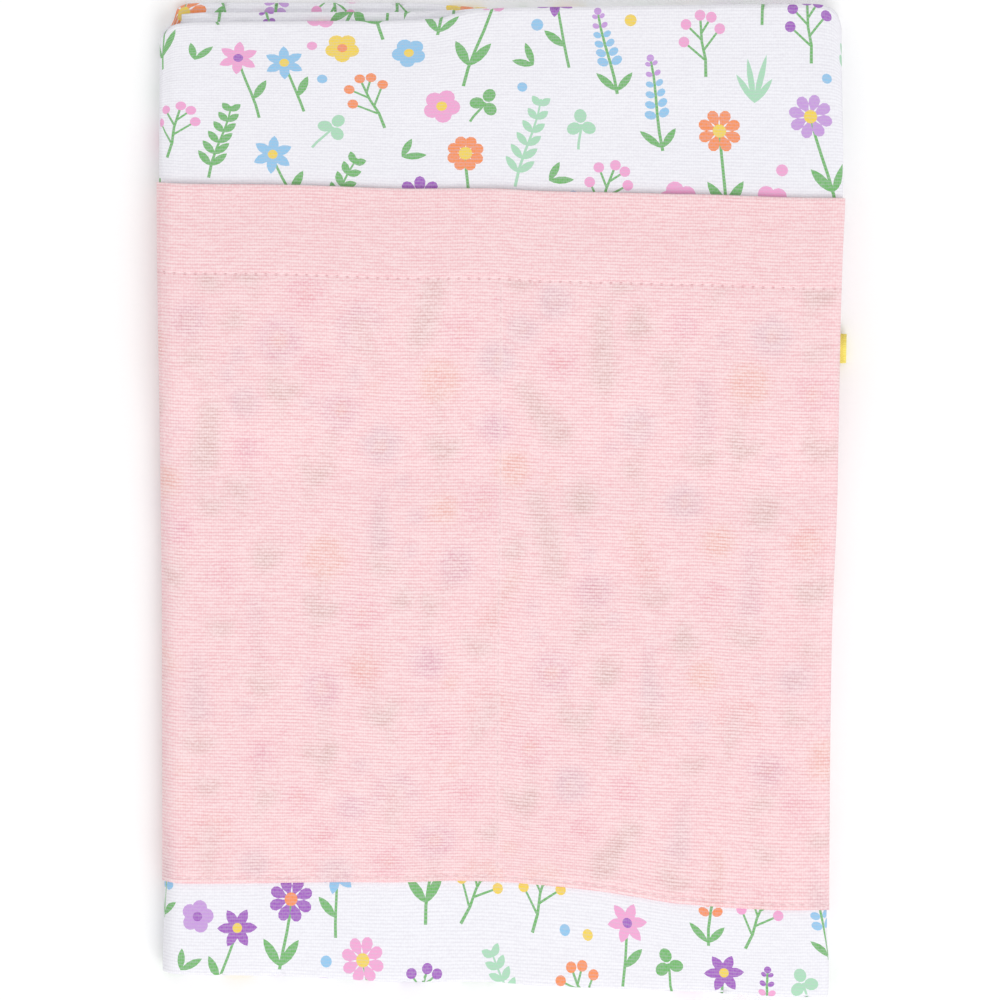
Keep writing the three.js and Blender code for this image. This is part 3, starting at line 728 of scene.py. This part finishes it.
def panel_outline(columns, rows):
    """The flat cloth's edge, once round, with a point at each grid line."""
    left, right = ([(side_limits(t)[side], t) for t in rows] for side in (0, 1))
    bottom, top = (points_between(columns, t, EDGE_MARGIN) for t in (rows[0], rows[-1]))
    return bottom + right + top[::-1] + left[::-1]


def points_between(columns, t, margin):
    """Grid points of one row that lie inside the cloth's edges by a margin."""
    low, high = side_limits(t)
    return [(s, t) for s in columns if low + margin < s < high - margin]


def edge_distance(flat):
    """Distance of flat points to the nearest edge of the cloth, near enough for its hems."""
    low, high = np.array([side_limits(t) for t in flat[:, 1]]).T
    return np.minimum.reduce([flat[:, 0] - low, high - flat[:, 0], flat[:, 1], T_LAST - flat[:, 1]])


def triangulate(outline, inner, shapes):
    """Triangles of the flat cloth, cut along the printed shapes, and each one's top shape or -1."""
    points = outline + inner
    faces = [list(range(len(outline)))]
    for shape, _ in shapes:
        faces.append(list(range(len(points), len(points) + len(shape))))
        points = points + shape
    flat, _, triangles, _, _, sources = delaunay_2d_cdt(points, [], faces, 0, 1e-4)
    kept = [(tri, max(source) - 1) for tri, source in zip(triangles, sources) if 0 in source]
    return np.array(flat), [list(tri) for tri, _ in kept], [top for _, top in kept]


# Grid steps (mm) on the faces that show, on the hidden ones, and round each fold
FACE_STEP = 3.0
HIDDEN_STEP = 7.0
SIDE_TURN_STEP = 1.1
BOTTOM_TURN_STEP = 0.6
TOP_TURN_STEP = 0.7
EDGE_MARGIN = 1.0  # between the corners and the edge's other points
GRID_MARGIN = 0.8  # between the grid's inner points and the cloth's edge
BACK_MARGIN = 2.5  # the same on the plain face, whose grid is coarser
HEM_EASE = 1.2  # width over which a hem's double cloth thins out


def make_panel(shapes):
    columns = grid(((S_FIRST, FACE_STEP), (S_LEFT, SIDE_TURN_STEP), (LEFT_CENTRE, FACE_STEP),
                    (RIGHT_CENTRE, SIDE_TURN_STEP), (S_RIGHT, HIDDEN_STEP)), S_LAST)
    rows = grid(((0, HIDDEN_STEP), (T_TAIL, BOTTOM_TURN_STEP), (T_FRONT, FACE_STEP),
                 (T_TOP, TOP_TURN_STEP), (T_BIB, HIDDEN_STEP)), T_LAST)
    outline = panel_outline(columns, rows)
    shown = [shape for shape in shapes if is_shown(shape[0])]
    inner = [point for t in rows[1:-1] for point in points_between(columns, t, GRID_MARGIN)]
    flat, front, tops = triangulate(outline, inner, shown)
    inner = [point for t in rows[::2][1:-1] for point in points_between(columns[::2], t, BACK_MARGIN)]
    back_flat, back, _ = triangulate(outline, inner, [])
    hem = smooth((HEM_WIDTH - edge_distance(back_flat)) / HEM_EASE)
    outer = fold_panel(flat, 0)
    inner = fold_panel(back_flat, mix(CLOTH_WALL, HEM_WALL, hem))
    rim_count = len(outline)
    ring = [[k, (k + 1) % rim_count] for k in range(rim_count)]
    rim = [[b, a, a + len(flat), b + len(flat)] for a, b in ring]
    faces = front + [[len(flat) + k for k in reversed(tri)] for tri in back] + rim
    points = np.vstack([outer, inner])
    shift = shift_to_solids(points, "apron_panel")
    panel = add_mesh("apron_cloth", points + shift, faces, np.vstack([flat, back_flat]),
                     len(front) + len(back))
    colours = [albedo(PRINT_COLOURS["white" if top < 0 else shown[top][1]]) for top in tops]
    corners = np.tile(albedo(PRINT_COLOURS["white"]), (len(panel.data.loops), 1))
    corners[:3 * len(front)] = np.repeat(colours, 3, axis=0)
    paint(panel, "print", "CORNER", corners)
    return panel, shift


# The pocket

HEM_LINE = POCKET_TOP - POCKET_HEM
EDGE_LINE = POCKET_RISE + 1.8
DIVIDER = 0.6
SEAM_LINES_UP = (HEM_LINE, EDGE_LINE)
POCKET_FIRST = S_LEFT - (POCKET_WRAP - HALF_WIDTH - LEFT_CENTRE)
POCKET_LAST = S_RIGHT + (RIGHT_CENTRE - (HALF_WIDTH - POCKET_WRAP))
POCKET_LEFT = POCKET_FIRST + 2
POCKET_RIGHT = POCKET_LAST - 2
LOWER_HEM = 7
MOUTH_DEPTH = 14
MOUTH_MEAN = 0.62
MOUTH_WAVES = ({"length": 23, "height": 0.22, "phase": 0}, {"length": 9.5, "height": 0.16, "phase": 1.3})
SEAM_STEP = 0.55  # grid beside a seam
SEAM_STEPS = 4
LEAST_STEP = 0.3
POCKET_STEP = 2.4


def on_top(level):
    """1 on the packet's upper face, 0 below it."""
    return smooth(level - (TOP_LEVEL - 1.5))


def pocket_relief(s, up):
    """How far the pocket's cloth stands above its plain form, in mm."""
    hem = HEM_STEP * smooth((up - HEM_LINE) / 0.9)
    edge = 0.8 * HEM_STEP * smooth((POCKET_RISE + LOWER_HEM - up) / 1.5)
    sway = MOUTH_MEAN + sum(wave["height"] * np.sin(s / wave["length"] + wave["phase"])
                            for wave in MOUTH_WAVES)
    mouth = MOUTH_RISE * smooth((up - POCKET_TOP + MOUTH_DEPTH) / MOUTH_DEPTH) ** 2 * sway
    to_edge = np.minimum(POCKET_TOP - up, up - POCKET_RISE)
    rounded = 0.4 * np.clip(1 - to_edge / EDGE_ROUND, 0, 1) ** 2
    seams = sum(np.exp(-((up - line) / SEAM_HALF) ** 2) for line in SEAM_LINES_UP)
    divider = np.exp(-((s - DIVIDER) / SEAM_HALF) ** 2) * smooth((HEM_LINE - up) / 2)
    return hem + edge + mouth - rounded - SEAM_SINK * seams + RIDGE_RISE * divider


def fold_pocket(s, up, inward):
    """Folded places on the pocket, a distance (mm) in from its outer face."""
    across, level = through_sides(s, np.full_like(s, DEPTH["pocket"]) + inward / PITCH)
    points = place(across, up, level)
    points[:, 2] += pocket_relief(s, up) * on_top(level)
    return points


def refined(start, end, spacing, seams):
    """Places from start to end, with finer ones beside each seam."""
    places = set(np.round(spread(start, end, spacing) + [end], 3))
    for seam in seams:
        places |= {round(seam + step * SEAM_STEP, 3) for step in range(-SEAM_STEPS, SEAM_STEPS + 1)}
    kept = []
    for value in sorted(p for p in places if start <= p <= end):
        if not kept or value - kept[-1] > LEAST_STEP:
            kept.append(value)
    kept[-1] = end
    return kept


SHOW_STEP = 1.0  # grid on which the print under the pocket is painted and blurred
SHOW_SIDE = 90.0  # how far that grid goes past the folds
SHOW_END = 10.0
BLURS = 3


def show_through(shapes, s, up):
    """Blurred colour of the print under the pocket at each place, as a tint."""
    low = np.array([S_LEFT - SHOW_SIDE, POCKET_RISE - SHOW_END])
    size = (int((S_RIGHT - S_LEFT + 2 * SHOW_SIDE) / SHOW_STEP),
            int((POCKET_HEIGHT + 2 * SHOW_END) / SHOW_STEP))
    image = np.ones((*size, 3))
    for points, colour in shapes:
        ring = np.array(points)
        ring = np.stack([ring[:, 0], BOTTOM_CENTRE + ring[:, 1] - T_FRONT], -1)
        first = np.maximum(np.floor((ring.min(0) - low) / SHOW_STEP).astype(int), 0)
        last = np.minimum(np.ceil((ring.max(0) - low) / SHOW_STEP).astype(int) + 1, size)
        if (first < last).all():
            i, j = np.mgrid[first[0]:last[0], first[1]:last[1]].reshape(2, -1)
            held = holds(ring, low[0] + i * SHOW_STEP, low[1] + j * SHOW_STEP)
            image[i[held], j[held]] = linear(PRINT_COLOURS[colour])
    for axis in (0, 1) * BLURS:
        image = sum(np.roll(image, k, axis) for k in range(-1, 2)) / 3
    at = ((np.stack([s, up], -1) - low) / SHOW_STEP).round().astype(int)
    i, j = np.clip(at, 0, np.array(size) - 1).T
    return image[i, j]


def holds(ring, x, y):
    """Which of the places x, y a ring of points holds."""
    a, b = ring[:, :, None], np.roll(ring, -1, axis=0)[:, :, None]
    crosses = (a[:, 1] > y) != (b[:, 1] > y)
    with np.errstate(divide="ignore", invalid="ignore"):
        at = a[:, 0] + (y - a[:, 1]) * (b[:, 0] - a[:, 0]) / (b[:, 1] - a[:, 1])
    return np.count_nonzero(crosses & (x < at), axis=0) % 2 == 1


def make_pocket(shapes, shift):
    columns = (grid(((POCKET_FIRST, FACE_STEP), (S_LEFT, SIDE_TURN_STEP)), LEFT_CENTRE)[:-1]
               + refined(LEFT_CENTRE, RIGHT_CENTRE, POCKET_STEP, (DIVIDER,))[:-1]
               + grid(((RIGHT_CENTRE, SIDE_TURN_STEP), (S_RIGHT, FACE_STEP)), POCKET_LAST))
    rows = refined(POCKET_RISE, POCKET_TOP, POCKET_STEP, (*SEAM_LINES_UP, POCKET_TOP - EDGE_ROUND))
    s, up = (a.ravel() for a in np.meshgrid(columns, rows))
    hem = np.maximum(smooth(up - HEM_LINE), smooth(POCKET_RISE + LOWER_HEM - up))
    outer = fold_pocket(s, up, np.zeros_like(s))
    inner = fold_pocket(s, up, mix(CLOTH_WALL, HEM_WALL, hem))
    faces, smooth_count = sheet_faces(len(rows), len(columns))
    flat = np.stack([s, up], -1)
    pocket = add_mesh("pocket_cloth", np.vstack([outer, inner]) + shift, faces, np.vstack([flat, flat]),
                      smooth_count)
    tint = show_through(shapes, s, up)
    tint = mix(tint.mean(1)[:, None], tint, 0.7)
    fade = (1 - smooth((up - HEM_LINE + 2) / 4))[:, None]
    paint(pocket, "under", "POINT", np.vstack([mix(1, tint, fade)] * 2))
    return pocket


# Stitches

# A thread's sections: where along it each lies, and its height over the cloth and size in radii
STITCH_SECTIONS = {
    "share": (0, 0.12, 0.3, 0.7, 0.88, 1),
    "rise": (-1, 0, 0.35, 0.35, 0, -1),
    "size": (0.35, 0.85, 1, 1, 0.85, 0.35),
}
STITCH_SIDES = 6


def unit(vectors):
    return vectors / np.linalg.norm(vectors, axis=-1, keepdims=True)


def add_stitches(name, seams, place_on, shift):
    """Short threads along seams. Each seam is a list of flat points, and place_on folds them."""
    share, rise, size = (np.array(STITCH_SECTIONS[key], float) for key in ("share", "rise", "size"))
    turns = 2 * math.pi * np.arange(STITCH_SIDES)[:, None] / STITCH_SIDES
    points, faces = [], []
    for seam in seams:
        seam = np.array(seam, float)
        gone = way_along(seam)
        starts = np.arange(STITCH_PITCH / 2, gone[-1] - STITCH_LENGTH, STITCH_PITCH)
        ways = starts[:, None] + share * STITCH_LENGTH
        flat = np.stack([np.interp(ways, gone, seam[:, k]) for k in (0, 1)], -1).reshape(-1, 2)
        low, high = (place_on(flat, inward).reshape(*ways.shape, 3) for inward in (0.3, 0.0))
        normal = unit(high - low)
        centre = high + normal * (rise * STITCH_RADIUS)[:, None]
        side = np.cross(unit(centre[:, -1:] - centre[:, :1]), normal)
        out = np.cos(turns) * side[:, :, None] + STITCH_FLATNESS * np.sin(turns) * normal[:, :, None]
        index = np.arange(out.size // 3).reshape(out.shape[:3]) + sum(map(len, points))
        beside = np.roll(index, -1, axis=2)
        walls = [index[:, :-1], beside[:, :-1], beside[:, 1:], index[:, 1:]]
        faces += np.stack(walls, -1).reshape(-1, 4).tolist()
        faces += index[:, 0, ::-1].tolist() + index[:, -1].tolist()
        points.append((centre[:, :, None] + STITCH_RADIUS * size[:, None, None] * out).reshape(-1, 3))
    return add_mesh(name, np.vstack(points) + shift, faces)


def on_pocket(flat, inward):
    return fold_pocket(flat[:, 0], flat[:, 1], np.full(len(flat), inward))


def straight(start, end, spacing=4):
    count = max(2, round(math.dist(start, end) / spacing))
    return [between(start, end, k / count) for k in range(count + 1)]


# Tapes

TAPE_EDGES = (-TAPE_WIDTH / 2, TAPE_WIDTH / 2)


def place_in_layer(across, up, level, above):
    points = place(across, up, np.full_like(across, level))
    points[:, 2] += above
    return points


TAPE_STEP = 5  # grid along a tie's straight runs
TAPE_TURN_STEPS = 8  # and round each of its turns


def tape_mesh(name, layers, along, shift):
    """A tape from its two faces, each with a point at either edge of every section along it."""
    uv = np.stack([np.tile(TAPE_EDGES, len(along)), along.repeat(2)], -1)
    faces, smooth_count = sheet_faces(len(along), 2)
    return add_mesh(name, np.vstack(layers) + shift, faces, np.vstack([uv, uv]), smooth_count)


def turned_tape(name, route, level, shift):
    """A tape that lies in one layer and turns back over itself about upright lines."""
    middle = (TIE_ROOM * PITCH - (PITCH - SOLID_WALL)) / 2
    inner = (PITCH - SOLID_WALL) / 2
    sections = []
    gone = 0.0
    for n, (start, end) in enumerate(zip(route[:-1], route[1:])):
        over = -1 if n % 2 == 0 else 1
        run = math.dist(start, end)
        steps = max(1, round(run / TAPE_STEP))
        for k in range(0 if n == 0 else 1, steps + 1):
            sections.append((*between(start, end, k / steps), over, 0, gone + run * k / steps))
        gone += run
        if n == len(route) - 2:
            continue
        for k in range(1, TAPE_TURN_STEPS + 1):
            angle = math.pi * k / TAPE_TURN_STEPS
            out = math.copysign(math.sin(angle), end[0] - start[0])
            sections.append((*end, over * math.cos(angle), out, gone))
    across, up, over, out, along = np.array(sections).T
    layers = []
    for radius in (inner + TAPE_WALL, inner):
        sides = [place_in_layer(across + out * radius, up + offset, level, middle + radius * over)
                 for offset in TAPE_EDGES]
        layers.append(np.stack(sides, 1).reshape(-1, 3))
    return tape_mesh(name, layers, along, shift)


def tie_route(start, first_turn, near, far, room):
    """A waist tie's run to and fro between two stops, a little further up or down at each turn."""
    first_run = abs(first_turn - start)
    turns = math.ceil((TIE_LENGTH - first_run) / abs(near - far))
    route = [(start, WAIST_UP), (first_turn, WAIST_UP)]
    left = TIE_LENGTH - first_run
    for n in range(turns):
        a = route[-1]
        b = (far if n % 2 == 0 else near, a[1] + room / turns)
        share = min(1, left / math.dist(a, b))
        route.append(between(a, b, share))
        left -= math.dist(a, b)
    return route


def make_left_tie(shift):
    stop = HALF_WIDTH - TIE_END_INSET
    room = FOLDED_LENGTH - TIE_CLEAR - WAIST_UP - TAPE_WIDTH / 2
    route = tie_route(LEFT_END - TIE_SEAM, HALF_WIDTH + TIE_TAB_REACH + TAB_LOOSENESS - TAPE_WALL,
                      stop, -stop, room)
    return turned_tape("left_tie_tape", route, DEPTH["tail"], shift)


def make_right_tie(shift):
    near = RIGHT_END + TAPE_WALL + PITCH
    room = WAIST_UP - TAIL_LENGTH - TIE_CLEAR - TAPE_WIDTH / 2
    route = tie_route(RIGHT_END + TIE_SEAM, near, near, HALF_WIDTH - TIE_END_INSET, -room)
    return turned_tape("right_tie_tape", route, RIGHT_BASE + DEPTH["tail"], shift)


STRAP_STEP = 6
STRAP_LOW = BIB_INSET + 1


def make_strap(shift):
    bend = STRAP_TOP - TAPE_WIDTH
    leg = [((STRAP_OUTER, up), (STRAP_INNER, up)) for up in spread(STRAP_LOW, bend - 2, STRAP_STEP)]
    corner = [((STRAP_OUTER, STRAP_TOP), (STRAP_INNER, bend))]
    bar = [((across, STRAP_TOP), (across, bend))
           for across in spread(3 - STRAP_INNER, STRAP_INNER - 3, STRAP_STEP)]
    flip = [tuple((-x, y) for x, y in pair) for pair in leg + corner]
    sections = np.array(flip + bar + corner + leg[::-1])
    slack = (STRAP_ROOM - 1) * PITCH / 2
    level = LAYERS - 1 - DEPTH["strap"]
    across, up = sections.reshape(-1, 2).T
    layers = [place_in_layer(across, up, level, above) for above in (slack, slack + TAPE_WALL)]
    return tape_mesh("strap_tape", layers, way_along(sections.mean(1)), shift)


# Materials

class Nodes:
    """Short calls for a material's node tree."""

    def __init__(self, name):
        self.material = bpy.data.materials.new(name)
        self.material.use_nodes = True
        self.tree = self.material.node_tree
        self.shader = self.tree.nodes["Principled BSDF"]

    def add(self, kind, inputs=(), **settings):
        node = self.tree.nodes.new(kind)
        for key, value in settings.items():
            setattr(node, key, value)
        for key, value in dict(inputs).items():
            self.feed(node.inputs[key], value)
        return node

    def feed(self, socket, value):
        if isinstance(value, bpy.types.NodeSocket):
            self.tree.links.new(value, socket)
        else:
            socket.default_value = value

    def math(self, operation, *values):
        node = self.add("ShaderNodeMath", enumerate(values), operation=operation)
        return node.outputs[0]

    def flat_place(self):
        """The flat cloth's s and t in millimetres."""
        uv = self.add("ShaderNodeUVMap", uv_map="cloth").outputs[0]
        parts = self.add("ShaderNodeSeparateXYZ", {0: uv}).outputs
        return self.math("MULTIPLY", parts[0], 1000.0), self.math("MULTIPLY", parts[1], 1000.0)

    def noise(self, s, t, s_size, t_size, detail=2.0, shift=0.0):
        """Noise from 0 to 1 with features of a given size each way, in millimetres."""
        vector = self.add("ShaderNodeCombineXYZ", {
            0: self.math("DIVIDE", s, s_size), 1: self.math("DIVIDE", t, t_size), 2: shift}).outputs[0]
        node = self.add("ShaderNodeTexNoise", {"Vector": vector, "Scale": 1.0, "Detail": detail})
        return node.outputs["Fac"]

    def object_noise(self, scale, detail):
        """Noise from 0 to 1 in the object's own space."""
        place = self.add("ShaderNodeTexCoord").outputs["Object"]
        node = self.add("ShaderNodeTexNoise", {"Vector": place, "Scale": scale, "Detail": detail})
        return node.outputs["Fac"]

    def threads(self, place, pitch, wobble):
        """A wave that is 0 between threads, and 1 and -1 by turns on them."""
        phase = self.math("MULTIPLY", self.math("ADD", place, wobble), math.pi / pitch)
        return self.math("SINE", phase)

    def around_zero(self, value, most):
        """A value that goes from 0 to 1 brought to go from -most to most."""
        return self.math("MULTIPLY_ADD", value, 2 * most, -most)

    def ramp(self, value, start, end, low, high):
        """low as far as start, high from end on, and a straight rise or fall between them."""
        return self.add("ShaderNodeMapRange", {0: value, 1: start, 2: end, 3: low, 4: high},
                        clamp=True).outputs[0]

    def blend(self, a, b, factor, kind="MIX"):
        node = self.add("ShaderNodeMix", data_type="RGBA", blend_type=kind)
        for key, value in ((0, factor), (6, a), (7, b)):
            self.feed(node.inputs[key], value)
        return node.outputs[2]

    def attribute(self, name):
        return self.add("ShaderNodeAttribute", attribute_name=name).outputs["Color"]

    def finish(self, inputs, bump=None):
        """The finished material, from its shader's inputs and its bump's."""
        for key, value in inputs.items():
            self.feed(self.shader.inputs[key], value)
        if bump:
            self.feed(self.shader.inputs["Normal"], self.add("ShaderNodeBump", bump).outputs[0])
        return self.material


STUDIO = 1.09  # what white would look like in the studio light


def albedo(colour):
    """A surface's own colour, for one that looks like this under the studio light."""
    return tuple(part / STUDIO for part in linear(colour))


def rgba(colour):
    return (*albedo(colour), 1.0)


# A plain weave: the pitch of its ribs and of the threads across them (mm), and their heights
WEFT_PITCH = 1.12
WARP_PITCH = 0.785
WEFT_RISE = 0.46
WARP_RISE = 0.2
CROSSING_RISE = 0.09
FUZZ_RISE = 0.4
# Below GAP_TOP only the gaps between threads show, in a painted shade.
GAP_TOP = 0.02  # threads cover the cloth wholly from THREAD_TOP up, and not at all below this
THREAD_TOP = 0.7
WHITE = (1, 1, 1, 1)


def cotton(name, colour_of, gap_shade_colour, slub, bump_strength):
    """Plain-woven slubby cotton, from the colours (n, s, t) of its threads and of the painted shade in the
    gaps between them.
    """
    n = Nodes(name)
    s, t = n.flat_place()
    wander_t = n.around_zero(n.noise(s, t, s_size=30.0, t_size=12.0, shift=3.1), 0.6)
    wander_s = n.around_zero(n.noise(s, t, s_size=12.0, t_size=30.0, shift=7.7), 0.5)
    weft = n.threads(t, WEFT_PITCH, wander_t)
    warp = n.threads(s, WARP_PITCH, wander_s)
    slubs = n.noise(s, t, s_size=5.0, t_size=WEFT_PITCH * 0.7, shift=1.3)
    fuzz = n.noise(s, t, s_size=1.3, t_size=0.6, shift=5.9)
    height = n.math("MULTIPLY", n.math("MULTIPLY", weft, warp), CROSSING_RISE)
    height = n.math("MULTIPLY_ADD", n.math("ABSOLUTE", weft), WEFT_RISE, height)
    height = n.math("MULTIPLY_ADD", n.math("ABSOLUTE", warp), WARP_RISE, height)
    height = n.math("ADD", height, n.around_zero(slubs, slub))
    height = n.math("ADD", height, n.around_zero(fuzz, FUZZ_RISE))
    # Where the threads sink, the colour goes over to the painted shade of the gaps.
    cover = n.ramp(height, GAP_TOP, THREAD_TOP, 0.0, 1.0)
    return n.finish(
        {"Base Color": n.blend(gap_shade_colour(n, s, t), colour_of(n, s, t), cover), "Roughness": 0.92,
         "Sheen Weight": 0.06, "Sheen Roughness": 0.6, "Specular IOR Level": 0.12},
        {"Height": height, "Strength": bump_strength, "Distance": 0.00014})


def printed_cotton():
    def own(n, s, t):
        warmth = n.noise(s, t, s_size=60.0, t_size=45.0, shift=4.2)
        tone = n.blend((0.96, 0.968, 1.0, 1), (1.0, 0.985, 0.995, 1), warmth)
        return n.blend(n.attribute("print"), tone, 1.0, "MULTIPLY")

    # Painted shade in the gaps between threads: the print darkened towards a lilac grey.
    def gap_shade(n, s, t):
        return n.blend(n.attribute("print"), rgba((204, 198, 214)), 0.4)

    return cotton("printed_cotton", own, gap_shade, slub=0.3, bump_strength=0.5)


def needle_hole_shade(n, s, t):
    """1 where shade is painted in the needle's holes along the pocket's hem line, less along its lower
    edge, 0 elsewhere.
    """
    along = n.math("SUBTRACT", s, POCKET_LEFT + (STITCH_PITCH + STITCH_LENGTH) / 2)
    across = n.math("PINGPONG", along, STITCH_PITCH / 2)
    total = 0.0
    for line, strength in ((HEM_LINE, 0.9), (EDGE_LINE, 0.2)):
        up = n.math("MULTIPLY", n.math("SUBTRACT", t, line), 1.5)
        square = n.math("MULTIPLY_ADD", across, across, n.math("MULTIPLY", up, up))
        away = n.math("SQRT", square)
        total = n.math("ADD", total, n.ramp(away, 0.25, 0.75, strength, 0.0))
    return total


def pink_cotton():
    pale = (255, 232, 233)

    def own(n, s, t):
        patches = n.noise(s, t, s_size=38.0, t_size=24.0, shift=9.4)
        return pierced(n, s, t, n.blend(rgba(pale), rgba((254, 226, 228)), patches), shown=0.06)

    # Painted shade in the gaps between threads: a darker pink.
    def gap_shade(n, s, t):
        return pierced(n, s, t, rgba((243, 190, 196)), shown=0.37)

    def pierced(n, s, t, colour, shown):
        """The colour with the print that shows through, the divider and painted shade in the needle's
        holes.
        """
        tint = n.blend(WHITE, n.attribute("under"), shown)
        colour = n.blend(colour, tint, 1.0, "MULTIPLY")
        away = n.math("ABSOLUTE", n.math("SUBTRACT", s, DIVIDER))
        below = n.math("LESS_THAN", t, HEM_LINE)
        line = n.math("MULTIPLY", n.ramp(away, 0.3, 1.1, 0.3, 0.0), below)
        colour = n.blend(colour, rgba(pale), line)
        # Painted shade in the needle's holes.
        return n.blend(colour, rgba((206, 130, 138)), needle_hole_shade(n, s, t))

    return cotton("pink_cotton", own, gap_shade, slub=0.36, bump_strength=0.55)


def tape_cotton():
    """Yellow tape in a herringbone, painted lighter where its yarn stands high and darker in the dips, as
    light and shade.
    """
    pitch, zigzag = 0.8, 2.5
    n = Nodes("yellow_tape")
    s, t = n.flat_place()
    ribs = n.math("ABSOLUTE", n.threads(t, pitch, n.math("PINGPONG", s, zigzag)))
    fuzz = n.noise(s, t, s_size=0.8, t_size=0.8, detail=3.0, shift=2.2)
    height = n.math("ADD", ribs, n.around_zero(fuzz, 0.3))
    # Painted light and shade: lighter where the ribs and fuzz stand higher, darker where they sink.
    colour = n.blend(rgba((250, 222, 84)), rgba((255, 242, 126)), height)
    return n.finish({"Base Color": colour, "Roughness": 0.85, "Sheen Weight": 0.1},
                    {"Height": height, "Strength": 0.6, "Distance": 0.00015})


def thread_material(name, colour):
    n = Nodes(name)
    darker = tuple(c * 0.93 for c in colour)
    colour = n.blend(rgba(darker), rgba(colour), n.object_noise(scale=2600.0, detail=1.0))
    return n.finish({"Base Color": colour, "Roughness": 0.7})


def floor_material():
    n = Nodes("floor_paper")
    grain = n.object_noise(scale=900.0, detail=2.0)
    colour = n.blend((0.95, 0.95, 0.95, 1), (0.97, 0.97, 0.97, 1), grain)
    return n.finish({"Base Color": colour, "Roughness": 0.95, "Specular IOR Level": 0.1})


# Camera, light and floor

PIXELS_PER_MM = 2.945
IMAGE_PIXELS = 1000
PACKET_MIDDLE_PIXEL = (501.6, 499.2)
CAMERA_HEIGHT = 3.0
SENSOR = 36.0


def make_camera(top):
    data = bpy.data.cameras.new("camera")
    data.sensor_width = SENSOR
    data.lens = SENSOR * CAMERA_HEIGHT / (IMAGE_PIXELS / PIXELS_PER_MM * MM)
    camera = add_object("camera", data)
    half = IMAGE_PIXELS / 2
    camera.location = ((half - PACKET_MIDDLE_PIXEL[0]) / PIXELS_PER_MM * MM,
                       (PACKET_MIDDLE_PIXEL[1] - half) / PIXELS_PER_MM * MM, top + CAMERA_HEIGHT)
    bpy.context.scene.camera = camera


SKY = 0.86
KEY_PLACE = (0.9, -2.2, 2.6)
KEY_SIZE = 1.9
KEY_WATTS = 44


def make_lights():
    data = bpy.data.lights.new("key", "AREA")
    data.shape = "SQUARE"
    data.size = KEY_SIZE
    data.energy = KEY_WATTS
    lamp = add_object("key", data)
    lamp.location = KEY_PLACE
    lamp.rotation_mode = "QUATERNION"
    lamp.rotation_quaternion = lamp.location.to_track_quat("Z", "Y")
    world = bpy.data.worlds.new("studio")
    world.use_nodes = True
    background = world.node_tree.nodes["Background"]
    background.inputs["Color"].default_value = WHITE
    background.inputs["Strength"].default_value = SKY
    bpy.context.scene.world = world
    bpy.context.scene.view_settings.view_transform = "Standard"


FLOOR_HALF = 4.0
FLOOR_DROP = 0.0002


def make_floor():
    mesh = bpy.data.meshes.new("floor")
    corners = ((-1, -1), (1, -1), (1, 1), (-1, 1))
    mesh.from_pydata([(x * FLOOR_HALF, y * FLOOR_HALF, 0) for x, y in corners], [], [(0, 1, 2, 3)])
    floor = add_object("floor", mesh)
    floor.location.z = -FLOOR_DROP
    mesh.materials.append(floor_material())


# The apron

make_camera(cad_high.z)
make_lights()
make_floor()

print_shapes = lay_out_print()
panel, shift = make_panel(print_shapes)
pocket = make_pocket(print_shapes, shift)
strap = make_strap(shift)
left_tie = make_left_tie(shift)
right_tie = make_right_tie(shift)

seam_foot, seam_head = POCKET_RISE + 3, POCKET_TOP - 2
pocket_threads = add_stitches("pocket_stitches", [
    straight((POCKET_LEFT, HEM_LINE), (POCKET_RIGHT, HEM_LINE), spacing=1.5),
    straight((POCKET_LEFT, EDGE_LINE), (POCKET_RIGHT, EDGE_LINE), spacing=1.5),
    straight((DIVIDER, seam_foot), (DIVIDER, HEM_LINE - 1)),
    straight((POCKET_LEFT, seam_foot), (POCKET_LEFT, seam_head)),
    straight((POCKET_RIGHT, seam_foot), (POCKET_RIGHT, seam_head)),
], on_pocket, shift)
hem_left, hem_right = S_FIRST + HEM_WIDTH - 1, S_LAST - HEM_WIDTH + 1
hem_threads = add_stitches("hem_stitches", [
    straight((hem_left, HEM_WIDTH), (hem_left, T_BIB), spacing=1.0),
    straight((hem_right, HEM_WIDTH), (hem_right, T_BIB), spacing=1.0),
    straight((S_FIRST + HEM_WIDTH, HEM_WIDTH - 1), (S_LAST - HEM_WIDTH, HEM_WIDTH - 1), spacing=1.0),
], fold_panel, shift)


def dress(piece, material, node=None):
    """Give a piece its material and its body, and hide the solid that it replaces."""
    piece.data.materials.append(material)
    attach(piece, "root")
    if node:
        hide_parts(node)


dress(panel, printed_cotton(), "apron_panel")
dress(pocket, pink_cotton(), "pocket")
for tape, node in ((strap, "neck_strap"), (left_tie, "waist_tie_left"), (right_tie, "waist_tie_right")):
    dress(tape, tape_cotton(), node)
dress(pocket_threads, thread_material("pink_thread", (255, 222, 225)))
dress(hem_threads, thread_material("white_thread", (240, 238, 244)))
